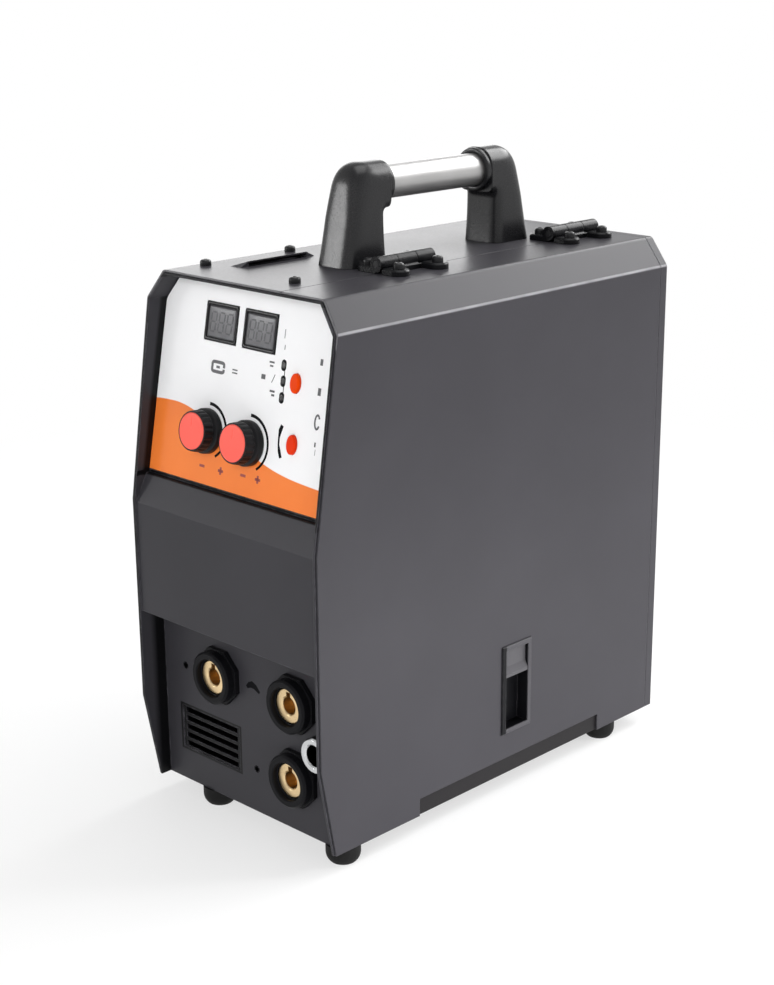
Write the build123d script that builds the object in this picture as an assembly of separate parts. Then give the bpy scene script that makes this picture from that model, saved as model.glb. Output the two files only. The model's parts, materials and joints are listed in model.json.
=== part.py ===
from build123d import *
import math
import os

# Casing, measured from the nose of the front (y = 0) and the underside of the casing (z = 0)
CASE_WIDTH = 200.0
CASE_LENGTH = 385.0
CASE_HEIGHT = 398.0
SHOULDER_X = 16.0
SHOULDER_Z = 21.3
BEND_RADIUS = 4.0
SHEET = 1.5
SEAM = 0.3
REAR_REACH = 24.0
FOOT_HEIGHT = 14.0

# Side outline of the front edge: sill set back, knee, brow, top set back
SILL_SETBACK = 13.0
KNEE_HEIGHT = 70.0
BROW_HEIGHT = 228.0
TOP_SETBACK = 26.0
RIM_SETBACK = 1.0

# Moulded front panel
WALL = 3.0
WING = 2.0
TOP_RIM = 1.5
RIM_DEPTH = 70.0
CONSOLE_LEAN = 10.7
CONSOLE_FOOT_DEPTH = 15.9
CONSOLE_FOOT_HEIGHT = 249.0
GROOVE = 3.0
GROOVE_INSET = 0.5
STRIP_TOP_DEPTH = 12.0
NOSE_DEPTH = 1.5
NOSE_FOOT_HEIGHT = 140.0
CREASE_DROP = 2.0
SOCKET_PANEL_DEPTH = 22.0

# Console controls: sideways place and height up the slope from the console foot
OVERLAY = 1.0
OVERLAY_GAP = 0.4
OVERLAY_CORNER = 9.0
CONTROL_GAP = 0.3
DISPLAY_SIZE = (34.6, 27.8)
DISPLAY_LEDGE = 2.0
CONSOLE_MEASURED = 151.64
DISPLAY_PLACES = ((-32.7, 117.4), (8.6, 117.3))
KNOB_PLACES = {"left": (-35.2, 39.2), "right": (9.2, 38.4)}
KNOB_HEIGHT = 16.0
KNOB_SKIRT_RADIUS = 16.5
KNOB_SKIRT = 3.2
KNOB_GRIP_RADIUS = 15.0
KNOB_RIBS = 20
KNOB_RIB_RADIUS = 0.9
KNOB_CAP_RADIUS = 13.4
KNOB_CAP = 3.6
KNOB_EDGE = 1.2
KNOB_DRAFT = 0.6
POINTER = (1.4, 6.7, 0.4)
SPINDLE_RADIUS = 3.0
BUTTON_PLACES = {"select": (50.5, 87.4), "check": (53.6, 45.4)}
BUTTON_SIZE = (8.8, 13.8)
BUTTON_PROUD = 2.6
BUTTON_LIP = 1.4
BUTTON_TRAVEL = 1.0
BUTTON_CROWN = 1.0
KEY_SIZE = 6.0
KEY_GAP = 0.1
LIGHT_PLACES = ((36.1, 97.7), (37.0, 86.8), (37.3, 75.3))
LIGHT_RADIUS = 2.2
BOARD = 1.6
BOARD_DEPTH = 20.0
BOARD_SIZE = (132.0, 120.0)
BOARD_MIDDLE = (0.0, 82.0)
POT_RADIUS = 9.0
RUNNING_FIT = 0.05

# Current sockets, torch outlet and vent on the socket panel: sideways place and height
SOCKET_LEFT_INSET = 69.0
SOCKET_RIGHT_INSET = 48.5
SOCKET_HEIGHTS = {"left": 100.0, "upper": 101.5, "lower": 43.0}
SOCKET_RADIUS = 20.3
SOCKET_PROUD = 11.5
SOCKET_LIP = 5.8
SOCKET_SINK = 4.5
SOCKET_FLANGE = (42.0, 4.0)
SOCKET_FLANGE_CUT = 12.0
SOCKET_EDGE = 1.6
SOCKET_SHANK_RADIUS = 16.0
SOCKET_SHANK = 12.0
CONTACT_RADIUS = 13.6
CONTACT_LENGTH = 26.0
CONTACT_EDGE = 1.0
STUD = 10.0
STUD_RADIUS = 4.0
PLUG_RADIUS = 6.5
PLUG_DEPTH = 20.0
KEYWAY = (4.4, 10.5)
SOCKET_NUT = 6.0
SOCKET_NUT_FLATS = 40.0
TORCH_INSET = 21.5
TORCH_HEIGHT = 71.2
TORCH_RING_RADIUS = 13.5
TORCH_RING = 9.0
TORCH_TUBE_RADIUS = 9.0
TORCH_MOUTH = (8.0, 14.0)
TORCH_BORE_RADIUS = 5.0
TORCH_EDGE = 1.2
TORCH_TAIL_GAP = 6.0
VENT_INSET = 55.0
VENT_HEIGHT = 44.5
VENT_SIZE = (66.0, 35.0)
VENT_SLOTS = 5
VENT_SLOT = 4.4
VENT_SINK = 1.0

# Handle on the top
POST_HALF_WIDTH = 17.0
POST_OUTER_DEPTHS = (115.0, 313.5)
POST_BASE = 38.5
POST_LEAN = 10.0
POST_BOSS = 10.5
POST_CORNER = 17.0
POST_EDGE = 10.0
POST_CROWN = 15.5
POST_COLLAR = 5.0
POST_COLLAR_INSET = 0.4
TUBE_RADIUS = 12.5
TUBE_AXIS_RISE = 56.5
TUBE_SEAT = 18.0
TUBE_WALL = 2.0
BOLT_RADIUS = 3.0
BOLT_HEAD_RADIUS = 6.0
BOLT_HEAD = 4.0
BOLT_REACH = 26.0
BOLT_PITCH = 15.0

# Hinges on the top seam
HINGE_SEAM = 42.0
HINGE_DEPTHS = {"front": 145.0, "rear": 335.0}
HINGE_LENGTH = 56.0
HINGE_LEAF_REACH = 23.0
HINGE_LEAF = 4.5
HINGE_PAD_RADIUS = 8.0
HINGE_EDGE = 1.2
HINGE_BARREL_RADIUS = 5.6
HINGE_RISE = 6.6
HINGE_PIN_RADIUS = 2.5
KNUCKLE = 20.0
KNUCKLE_GAP = 0.5
SCREW_RADIUS = 2.0
SCREW_HEAD_RADIUS = 4.2
SCREW_HEAD = 4.4
SCREW_REACH = 8.0
SCREW_DRIVE = 1.6
SCREW_GAP = 0.2

# Cover: screws on the top, pressed vent hood, side vents and the carrying cut-outs along the bottom
TOP_SCREW_INSET = 25.0
TOP_SCREW_MIDDLE = 25.0
TOP_SCREW_DEPTHS = (59.0, 55.0, 142.0)
HOOD_PLACE = (-47.0, 68.0, 141.0)
HOOD_WIDTH = 11.0
HOOD_RISE = 4.0
HOOD_WALL = 1.2
CUTOUT_FROM = 100.0
CUTOUT_TO = 312.0
CUTOUT_HEIGHT = 14.0
SIDE_VENT = (44.0, 5.0)
SIDE_VENT_PITCH = 14.0
SIDE_VENT_ROWS = 6
SIDE_VENT_COLUMNS = (150.0, 225.0)
SIDE_VENT_FOOT = 210.0

# Door latch
LATCH_DEPTH = 208.0
LATCH_FOOT = 35.0
LATCH_SIZE = (34.0, 73.0)
LATCH_PROUD = 1.5
LATCH_BORDER = 4.0
LATCH_WALL = 2.0
LATCH_CUP = 11.5
LATCH_GAP = 0.4
LATCH_RECESS = 42.0
LATCH_TRAVEL = 7.0
LATCH_PLATE = 4.0
LATCH_PLATE_SINK = 3.0
LATCH_GRIP = 2.6
TONGUE = (12.0, 2.0)
TONGUE_GAP = 2.0
KEEPER_REACH = 17.0
PAN_FLANGE = 20.0

# Base pan, feet, rear panel and divider
FOOT_RADIUS = 13.0
FOOT_TIP_RADIUS = 9.5
FOOT_WAIST = 6.3
FOOT_BULGE = 9.8
FOOT_INSET_RIGHT = 13.0
FOOT_INSET_LEFT = 50.0
FOOT_FRONT = 33.0
FOOT_REAR = 54.0
REAR_RIM = 8.0
REAR_LIP = 12.0
REAR_LIP_FOOT = 35.0
DIVIDER_X = 8.0
DIVIDER_FLANGE = 44.0
DIVIDER_FOOT = 14.0

# Rear fittings: sideways place and height
FAN_HEIGHT = 190.0
FAN_ROOM = 8.0
FAN_RIM = 3.0
FAN_TIP_GAP = 2.0
FAN_DEPTH = 25.0
FAN_HUB_RADIUS = 18.0
FAN_BLADES = 7
FAN_SHAFT_RADIUS = 2.0
FAN_STRUT = 5.0
FAN_CORNER = 4.0
FAN_GAP = 0.6
FAN_HUB_EDGE = 2.0
FAN_BLADE = 1.6
FAN_PITCH = (48.0, 30.0)
FAN_RINGS = 4
FAN_RING_PITCH = 8.0
FAN_SLOT = 5.0
SWITCH_HEIGHT = 320.0
SWITCH_SIZE = (22.0, 30.0)
SWITCH_FRAME = 2.5
SWITCH_DEPTH = 24.0
ROCKER_TILT = 8.0
ROCKER_GAP = 1.3
GLAND_HEIGHT = 62.0
GLAND_RADIUS = 12.0
GLAND_BORE_RADIUS = 6.0
GLAND_REACH = 22.0
GLAND_NECK_RADIUS = 9.6
GLAND_TIP_RADIUS = 8.5
GLAND_HEX = 5.0
GLAND_DOME = 8.0
GAS_PLACE = (45.0, 60.0)
GAS_HEX = 17.0
GAS_BORE_RADIUS = 2.4
GAS_BARB_RADIUS = 4.6
GAS_BARB_ROOT = 3.7
GAS_BARBS = 3
GAS_HEX_LENGTH = 6.0
GAS_THREAD = 9.0
VALVE_SIZE = (30.0, 34.0, 38.0)
VALVE_COIL_RADIUS = 12.6
VALVE_STUB = 10.0
VALVE_TAB = 4.0

# Wire feeder, on the line from the spool to the torch outlet
FEED_DEPTH = 122.0
ROLL_RADIUS = 14.0
ROLL_WIDTH = 12.0
ROLL_BORE_RADIUS = 5.0
ROLL_GAP = 0.6
GROOVE_RADIUS = 0.8
ROLL_GROOVES = (6.0, 9.6)
END_PLAY = 0.4
SHAFT_CAP = 5.6
SHAFT_COLLAR = 2.8
SHAFT_COLLAR_RADIUS = 8.0
SHAFT_ROOM_RADIUS = 9.0
CLAMP_WALL = 5.0
FEED_PLATE = 8.0
FEED_PLATE_GAP = 14.5
FEED_PLATE_FRONT = 74.0
FEED_PLATE_REAR = 178.0
FEED_PLATE_FOOT = 26.0
FEED_PLATE_HEAD = 116.0
FEED_STANDOFF_RADIUS = 6.0
GEARBOX_RADIUS = 28.0
GEARBOX = 34.0
MOTOR_RADIUS = 24.0
MOTOR_CLEAR = 3.0
GEARBOX_EDGE = 3.0
MOTOR_TAIL = 5.0
MOTOR_TAIL_RADIUS = 8.0
DIVIDER_MOTOR_GAP = 4.0
ARM_PIVOT = (92.0, 102.0)
ARM_PIN_RADIUS = 4.0
ARM_WIDTH = 10.0
ARM_GAP = 1.2
ARM_END = (164.0, 92.0)
ARM_BOSS_RADIUS = 9.0
ARM_HALF_HEIGHT = 7.2
AXLE_COLLAR = 2.0
AXLE_RADIUS = 4.0
TENSION_PIVOT = (156.0, 48.0)
TENSION_PIN_RADIUS = 3.0
TENSION_ROD_RADIUS = 2.5
TENSION_SLOT_GAP = 0.6
TENSION_REST = 58.0
TENSION_KNOB_RADIUS = 10.0
TENSION_KNOB = 34.0
TENSION_KNOB_RIBS = 12
TENSION_RIB_RADIUS = 1.2
TENSION_SKIRT = 8.0
TENSION_CROWN = 4.0
TENSION_PLAY = 0.2
TENSION_WASHER = 2.0
TENSION_CLEAR = 8.0
TENSION_EYE = 3.0
GUIDE_DEPTH = (146.0, 174.0)
GUIDE_RADIUS = 4.0
GUIDE_BORE_RADIUS = 1.6
GUIDE_NOSE_RADIUS = 3.2
GUIDE_MOUTH_RADIUS = 2.8
GUIDE_TAPER = 3.5
GUIDE_BRACKET = (164.0, 172.0)

# Wire spool hub
HUB_PLACE = (250.0, 275.0)
SPINDLE_FLANGE_RADIUS = 22.0
AXLE_STUB_RADIUS = 8.0
HUB_RADIUS = 25.0
HUB_LENGTH = 56.0
HUB_FLANGE_RADIUS = 34.0
HUB_FLANGE = 4.0
HUB_WALL = 3.5
HUB_RIB = 2.4
HUB_PEG = 10.0
HUB_STANDOFF = 4.0
HUB_RIBS = 6
HUB_NUT_RADIUS = 21.0
HUB_NUT = 12.0
HUB_NUT_WALL = 3.0
HUB_NUT_DENT = 7.0
HUB_NUT_LOBES = 6

# Power bay
SINK_SIZE = (70.0, 84.0, 56.0)
SINK_BASE = 7.0
SINK_FINS = 9
SINK_FIN = 2.0
SINK_WALL_GAP = 10.0
SINK_FRONTS = (160.0, 256.0)
MAIN_BOARD_RISE = 9.0
CAPACITOR = (11.0, 42.0)
CAPACITOR_COLUMNS = 3
CAPACITOR_START = 30.0
CAPACITOR_PITCH = 28.6
SPACER_INSET = 8.0
TRANSFORMER_SIZE = (36.0, 62.0, 58.0)
TRANSFORMER_DEPTH = 112.0
TRANSFORMER_YOKE = 9.0
TRANSFORMER_CORNER = 8.0

# Places that follow from the sizes above
SKIN = SHEET + SEAM
HALF = CASE_WIDTH / 2
INNER_HALF = HALF - SKIN - WING
TOP = CASE_HEIGHT
LEAN = math.radians(CONSOLE_LEAN)
TORCH_X = HALF - TORCH_INSET
SOCKET_SIDES = {
    "left": SOCKET_LEFT_INSET - HALF,
    "upper": HALF - SOCKET_RIGHT_INSET,
    "lower": HALF - SOCKET_RIGHT_INSET,
}
SOCKET_PLACES = {name: (x, SOCKET_HEIGHTS[name]) for name, x in SOCKET_SIDES.items()}
VENT_PLACE = (VENT_INSET - HALF, VENT_HEIGHT)
TOP_SCREW_SIDES = (TOP_SCREW_INSET - HALF, TOP_SCREW_MIDDLE, TOP_SCREW_INSET - HALF)
TOP_SCREWS = tuple(zip(TOP_SCREW_SIDES, TOP_SCREW_DEPTHS))
REAR_PLANE = CASE_LENGTH - REAR_RIM
REAR_WALL = CASE_LENGTH - WALL
CONSOLE = Plane(
    origin=(0, CONSOLE_FOOT_DEPTH, CONSOLE_FOOT_HEIGHT),
    x_dir=(1, 0, 0),
    z_dir=(0, -math.cos(LEAN), math.sin(LEAN)),
)
CONSOLE_LENGTH = (TOP - CONSOLE_FOOT_HEIGHT) / math.cos(LEAN)
ROW_SCALE = CONSOLE_LENGTH / CONSOLE_MEASURED
PIN_LINE = TOP + HINGE_RISE
PLATE_RIGHT = TORCH_X - FEED_PLATE_GAP - ROLL_WIDTH / 2
PLATE_LEFT = PLATE_RIGHT - FEED_PLATE
DIVIDER_FACE = DIVIDER_X + SHEET
ROLL_LOW = TORCH_HEIGHT - ROLL_GAP / 2 - ROLL_RADIUS
ROLL_HIGH = TORCH_HEIGHT + ROLL_GAP / 2 + ROLL_RADIUS
ARM_LEFT = PLATE_RIGHT + ARM_GAP
ARM_RIGHT = ARM_LEFT + ARM_WIDTH
ARM_MIDDLE = (ARM_LEFT + ARM_RIGHT) / 2
TORCH_TAIL = FEED_DEPTH - ROLL_RADIUS - TORCH_TAIL_GAP
ROLL_LEFT = TORCH_X - ROLL_WIDTH / 2
ROLL_RIGHT = TORCH_X + ROLL_WIDTH / 2
LATCH_TOP = LATCH_FOOT + LATCH_SIZE[1]
KEEPER_X = HALF - LATCH_CUP - LATCH_WALL
BAY_MIDDLE = (DIVIDER_X - HALF) / 2
FAN_PLACE = (BAY_MIDDLE, FAN_HEIGHT)
SWITCH_PLACE = (BAY_MIDDLE, SWITCH_HEIGHT)
GLAND_PLACE = (BAY_MIDDLE, GLAND_HEIGHT)
FAN_SIZE = DIVIDER_X + HALF - 2 * FAN_ROOM
FAN_DUCT_RADIUS = FAN_SIZE / 2 - FAN_RIM
FAN_BLADE_RADIUS = FAN_DUCT_RADIUS - FAN_TIP_GAP
SINK_MIDDLE_X = SINK_WALL_GAP + SINK_SIZE[0] / 2 - HALF
TRANSFORMER_RIGHT = SINK_WALL_GAP + TRANSFORMER_SIZE[0] - HALF
MOTOR = PLATE_LEFT - GEARBOX - MOTOR_TAIL - MOTOR_CLEAR - TRANSFORMER_RIGHT


def block(x0, x1, y0, y1, z0, z1):
    """Box between two corners."""
    return Pos((x0 + x1) / 2, (y0 + y1) / 2, (z0 + z1) / 2) * Box(x1 - x0, y1 - y0, z1 - z0)


def rod_x(x0, x1, y, z, radius):
    """Round bar along X."""
    return Pos((x0 + x1) / 2, y, z) * Rot(0, 90, 0) * Cylinder(radius, x1 - x0)


def rod_y(x, y0, y1, z, radius):
    """Round bar along Y."""
    return Pos(x, (y0 + y1) / 2, z) * Rot(90, 0, 0) * Cylinder(radius, y1 - y0)


def rod_z(x, y, z0, z1, radius):
    """Round bar along Z."""
    return Pos(x, y, (z0 + z1) / 2) * Cylinder(radius, z1 - z0)


def slab_x(points, x0, x1):
    """Outline of (y, z) points, carried from x0 to x1."""
    face = Plane(origin=(x0, 0, 0), x_dir=(0, 1, 0), z_dir=(1, 0, 0)) * Polygon(*points, align=None)
    return extrude(face, amount=x1 - x0, dir=(1, 0, 0))


def slab_y(points, y0, y1):
    """Outline of (x, z) points, carried from y0 to y1."""
    face = Plane(origin=(0, y1, 0), x_dir=(1, 0, 0), z_dir=(0, -1, 0)) * Polygon(*points, align=None)
    return extrude(face, amount=y1 - y0, dir=(0, -1, 0))


def turned_y(points, x, z):
    """Outline of (radius, y) points, turned about the line along Y at x, z."""
    return Pos(x, 0, z) * revolve(Polygon(*points, align=None), Axis.Y)


def turned_x(points, y, z):
    """Outline of (x, radius) points, turned about the line along X at y, z."""
    return Pos(0, y, z) * revolve(Polygon(*points, align=None), Axis.X)


def hex_y(x, y0, y1, z, flats):
    """Hexagonal bar along Y."""
    face = Plane(origin=(x, y1, z), x_dir=(1, 0, 0), z_dir=(0, -1, 0))
    return extrude(face * RegularPolygon(flats / 2, 6, major_radius=False), amount=y1 - y0)


def thick_line(points, wall):
    """Closed outline of a wall of even thickness to the left of an open line."""
    normals = []
    for (x0, y0), (x1, y1) in zip(points, points[1:]):
        run = math.hypot(x1 - x0, y1 - y0)
        normals.append(((y0 - y1) / run, (x1 - x0) / run))
    normals = [normals[0]] + normals + [normals[-1]]
    inner = []
    for (x, y), (ax, ay), (bx, by) in zip(points, normals, normals[1:]):
        share = wall / (1 + ax * bx + ay * by)
        inner.append((x + share * (ax + bx), y + share * (ay + by)))
    return list(points) + inner[::-1]


def casing_section(side, top, foot=0.0):
    """Outline of the casing seen from the front, drawn in by side and top."""
    half = HALF - side
    head = TOP - top
    slope = math.hypot(SHOULDER_X, SHOULDER_Z)
    level = SHOULDER_Z * HALF + SHOULDER_X * (TOP - SHOULDER_Z) - side * slope
    shoulder = (level - SHOULDER_Z * half) / SHOULDER_X
    crest = (level - SHOULDER_X * head) / SHOULDER_Z
    return [(-half, foot), (half, foot), (half, shoulder), (crest, head), (-crest, head), (-half, shoulder)]


def side_outline(setback, back):
    """Outline of the casing seen from the side, from its front edge to back."""
    return [
        (SILL_SETBACK + setback, 0),
        (back, 0),
        (back, TOP),
        (TOP_SETBACK + setback, TOP),
        (setback, BROW_HEIGHT),
        (setback, KNEE_HEIGHT),
    ]


def casing_bar(y0, y1):
    """Solid bar with the outer section of the casing and its bent shoulders."""
    bar = slab_y(casing_section(0, 0), y0, y1)
    bends = bar.edges().filter_by(Axis.Y).filter_by_position(Axis.Z, TOP - 2 * SHOULDER_Z, TOP + SHEET)
    return fillet(bends, BEND_RADIUS)


def casing_sheet():
    """Bent sheet over both sides and the top, open at the bottom and both ends."""
    back = REAR_PLANE - SEAM
    outer = casing_bar(0, back) & slab_x(side_outline(RIM_SETBACK, back), -HALF, HALF)
    return outer - slab_y(casing_section(SHEET, SHEET, -SHEET), -SHEET, CASE_LENGTH)


def bottom_cutout(x0, x1):
    """Long cut-out along the lower edge of a side."""
    return block(x0, x1, CUTOUT_FROM, CUTOUT_TO, -SHEET, CUTOUT_HEIGHT)


def hood_outline(wall):
    """Wedge of the pressed vent hood, drawn in by wall."""
    x = HOOD_PLACE[0]
    return [(x - HOOD_WIDTH + 2 * wall, TOP), (x, TOP), (x, TOP + HOOD_RISE - wall)]


def vent_hood():
    """Pressed hood on the top that opens to one side."""
    x, front, rear = HOOD_PLACE
    shell = slab_y(hood_outline(0), front, rear)
    slope = HOOD_RISE * 2
    for end, turn in ((front, 1), (rear, -1)):
        tip = [(end, TOP), (end + turn * slope, TOP + HOOD_RISE), (end, TOP + HOOD_RISE)]
        shell -= slab_x(tip, x - HOOD_WIDTH, x)
    return shell - slab_y(hood_outline(HOOD_WALL), front + slope, rear - slope)


def top_hole(x, depth, radius):
    """Hole through the top sheet."""
    return rod_z(x, depth, TOP - 2 * SHEET, TOP + SHEET, radius)


def hinge_screw_places(side):
    """Places of the two screws of each leaf: side is -1 for the casing and 1 for the door."""
    x = HINGE_SEAM + side * (HINGE_LEAF_REACH - HINGE_PAD_RADIUS)
    reach = HINGE_LENGTH / 2 - HINGE_PAD_RADIUS
    return [(x, middle + end * reach) for middle in HINGE_DEPTHS.values() for end in (-1, 1)]


def bolt_places():
    """Places of the bolts that hold the handle posts, two in each."""
    front, rear = POST_OUTER_DEPTHS
    middles = (front + POST_BASE / 2, rear - POST_BASE / 2)
    return [(0.0, middle + end * BOLT_PITCH / 2) for middle in middles for end in (-1, 1)]


def cover_shell():
    """Fixed cover: left side and the top as far as the hinge seam."""
    keep = block(-HALF, HINGE_SEAM - SEAM, 0, CASE_LENGTH, 0, TOP)
    shell = casing_sheet() & keep
    shell -= bottom_cutout(-HALF - SHEET, -HALF + 2 * SHEET)
    x, front, rear = HOOD_PLACE
    shell -= block(x - HOOD_WIDTH / 2, x, front + 2 * HOOD_RISE, rear - 2 * HOOD_RISE, TOP - 2 * SHEET, TOP)
    shell += vent_hood()
    for place in TOP_SCREWS + tuple(hinge_screw_places(-1)):
        shell -= top_hole(*place, SCREW_RADIUS + SCREW_GAP)
    for place in bolt_places():
        shell -= top_hole(*place, BOLT_RADIUS + SCREW_GAP)
    wide, tall = SIDE_VENT
    for depth in SIDE_VENT_COLUMNS:
        for row in range(SIDE_VENT_ROWS):
            height = SIDE_VENT_FOOT + row * SIDE_VENT_PITCH
            slot = extrude(SlotOverall(wide, tall), amount=4 * SHEET, both=True)
            shell -= Pos(-HALF, depth, height) * Rot(0, 90, 0) * Rot(0, 0, 90) * slot
    return shell


def feed_door():
    """Right side door with its top strip and shoulder, hung on the top seam."""
    keep = block(HINGE_SEAM + SEAM, HALF, 0, CASE_LENGTH, 0, TOP)
    door = casing_sheet() & keep
    door -= bottom_cutout(HALF - 2 * SHEET, HALF + SHEET)
    half = LATCH_SIZE[0] / 2 - LATCH_BORDER + LATCH_WALL + LATCH_GAP
    door -= block(
        HALF - 2 * SHEET,
        HALF + SHEET,
        LATCH_DEPTH - half,
        LATCH_DEPTH + half,
        LATCH_FOOT + LATCH_BORDER - LATCH_WALL - LATCH_GAP,
        LATCH_TOP - LATCH_BORDER + LATCH_WALL + LATCH_GAP,
    )
    for place in hinge_screw_places(1):
        door -= top_hole(*place, SCREW_RADIUS + SCREW_GAP)
    return door


def console_spot(place, low=0):
    """Spot on the console: x, and a height that keeps its share of the console's length."""
    return CONSOLE * Pos(place[0], place[1] * ROW_SCALE, low)


def console_at(place, low, high, shape):
    """Flat shape on the console at place, carried from low to high along its normal."""
    return console_spot(place, low) * extrude(shape, amount=high - low)


def console_rod(place, low, high, radius):
    """Round bar square to the console."""
    return console_at(place, low, high, Circle(radius))


def front_line():
    """Front face of the panel between its wings, from inside the top rim down to the sill."""
    head = TOP - SKIN
    return [
        (CONSOLE_FOOT_DEPTH + math.tan(LEAN) * (head - CONSOLE_FOOT_HEIGHT), head),
        (CONSOLE_FOOT_DEPTH, CONSOLE_FOOT_HEIGHT),
        (STRIP_TOP_DEPTH, CONSOLE_FOOT_HEIGHT - GROOVE),
        (NOSE_DEPTH, BROW_HEIGHT - CREASE_DROP),
        (NOSE_DEPTH, NOSE_FOOT_HEIGHT),
        (SOCKET_PANEL_DEPTH, NOSE_FOOT_HEIGHT),
        (SOCKET_PANEL_DEPTH, 0),
    ]


def console_holes():
    """Holes in the console for windows, knobs, buttons and lights."""
    low, high = -3 * WALL, 2 * WALL
    wide, tall = DISPLAY_SIZE
    window = Rectangle(wide - 2 * DISPLAY_LEDGE, tall - 2 * DISPLAY_LEDGE)
    holes = [console_at(place, low, high, window) for place in DISPLAY_PLACES]
    for place in KNOB_PLACES.values():
        holes.append(console_rod(place, low, high, SPINDLE_RADIUS + CONTROL_GAP))
    for place in BUTTON_PLACES.values():
        holes.append(console_at(place, low, high, button_outline(CONTROL_GAP)))
    for place in LIGHT_PLACES:
        holes.append(console_rod(place, low, high, LIGHT_RADIUS + RUNNING_FIT))
    return holes


def button_outline(grow):
    """Oval of a push button, grown by a gap."""
    return Ellipse(BUTTON_SIZE[0] / 2 + grow, BUTTON_SIZE[1] / 2 + grow)


def front_vent():
    """Cuts of the front vent: a shallow field and the slots through it."""
    wide, tall = VENT_SIZE
    x, height = VENT_PLACE
    low, high = SOCKET_PANEL_DEPTH - WALL, SOCKET_PANEL_DEPTH + 2 * WALL
    x0, x1 = x - wide / 2, x + wide / 2
    foot = height - tall / 2
    pitch = tall / VENT_SLOTS
    cuts = [block(x0, x1, low, SOCKET_PANEL_DEPTH + VENT_SINK, foot, foot + tall)]
    for row in range(VENT_SLOTS):
        z0 = foot + row * pitch + (pitch - VENT_SLOT) / 2
        cuts.append(block(x0 + WALL, x1 - WALL, low, high, z0, z0 + VENT_SLOT))
    return cuts


def front_panel():
    """Moulded front: rim with wings, leaning console, brow and recessed socket panel."""
    rim = slab_y(casing_section(SKIN, SKIN), 0, RIM_DEPTH) & slab_x(side_outline(0, RIM_DEPTH), -HALF, HALF)
    rim -= slab_y(casing_section(SKIN + WING, SKIN + TOP_RIM, -WALL), -WALL, RIM_DEPTH + WALL)
    skin = slab_x(thick_line(front_line(), WALL), -INNER_HALF - WING / 2, INNER_HALF + WING / 2)
    skin &= slab_y(casing_section(SKIN + WING / 2, SKIN + TOP_RIM / 2), 0, RIM_DEPTH)
    panel = rim + skin
    groove_top = CONSOLE_FOOT_HEIGHT - GROOVE_INSET
    groove_foot = CONSOLE_FOOT_HEIGHT - GROOVE + GROOVE_INSET
    panel -= block(-INNER_HALF, INNER_HALF, 0, CONSOLE_FOOT_DEPTH, groove_foot, groove_top)
    for cut in console_holes() + front_vent():
        panel -= cut
    for x, depth in TOP_SCREWS:
        panel -= rod_z(x, depth, TOP - SCREW_REACH - SHEET, TOP, SCREW_RADIUS + SCREW_GAP)
    low, high = SOCKET_PANEL_DEPTH - WALL, SOCKET_PANEL_DEPTH + 2 * WALL
    for x, height in SOCKET_PLACES.values():
        panel -= rod_y(x, low, high, height, SOCKET_SHANK_RADIUS + CONTROL_GAP)
    return panel - rod_y(TORCH_X, low, high, TORCH_HEIGHT, TORCH_TUBE_RADIUS + CONTROL_GAP)


def control_overlay():
    """Printed sheet on the console, with its top corners cut to the rim."""
    head = TOP - SKIN - TOP_RIM
    wide = INNER_HALF - OVERLAY_GAP
    rise = (head - CONSOLE_FOOT_HEIGHT) / math.cos(LEAN) - OVERLAY_GAP - OVERLAY
    corner_x = SHOULDER_X - WING + OVERLAY_GAP
    corner_y = (SHOULDER_Z - WING) / math.cos(LEAN)
    outline = Polygon(
        (-wide, OVERLAY_GAP),
        (wide, OVERLAY_GAP),
        (wide, rise - corner_y),
        (wide - corner_x, rise),
        (corner_x - wide, rise),
        (-wide, rise - corner_y),
        align=None,
    )
    outline = fillet(outline.vertices().sort_by(Axis.Y)[2:], OVERLAY_CORNER)
    sheet = CONSOLE * extrude(outline, amount=OVERLAY)
    wide, tall = DISPLAY_SIZE
    for place in DISPLAY_PLACES:
        window = Rectangle(wide + 2 * CONTROL_GAP, tall + 2 * CONTROL_GAP)
        sheet -= console_at(place, -OVERLAY, 2 * OVERLAY, window)
    for hole in console_holes():
        sheet -= hole
    return sheet


def display_windows():
    """Two clear windows that lie in the overlay."""
    return [console_at(place, 0, OVERLAY + CONTROL_GAP, Rectangle(*DISPLAY_SIZE)) for place in DISPLAY_PLACES]


def knob(place):
    """Ribbed knob with a skirt, a seat for its cap and a moulded spindle."""
    foot = OVERLAY + CONTROL_GAP
    head = OVERLAY + KNOB_HEIGHT
    seat = head - KNOB_CAP
    skirt = foot + KNOB_SKIRT
    tail = -BOARD_DEPTH + BOARD + WALL
    outline = Polygon(
        (0, tail),
        (SPINDLE_RADIUS, tail),
        (SPINDLE_RADIUS, foot),
        (KNOB_SKIRT_RADIUS, foot),
        (KNOB_SKIRT_RADIUS, skirt - KNOB_EDGE),
        (KNOB_GRIP_RADIUS, skirt),
        (KNOB_GRIP_RADIUS - KNOB_DRAFT, head - KNOB_EDGE),
        (KNOB_CAP_RADIUS + RUNNING_FIT, head - KNOB_DRAFT),
        (KNOB_CAP_RADIUS + RUNNING_FIT, seat),
        (0, seat),
        align=None,
    )
    body = revolve(Plane.XZ * outline, Axis.Z)
    for rib in range(KNOB_RIBS):
        turn = 360 / KNOB_RIBS * rib
        groove = Rot(0, 0, turn) * Pos(KNOB_GRIP_RADIUS + KNOB_RIB_RADIUS / 3, 0, skirt + KNOB_HEIGHT / 2)
        body -= groove * Cylinder(KNOB_RIB_RADIUS, KNOB_HEIGHT)
    return console_spot(place) * body


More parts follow.
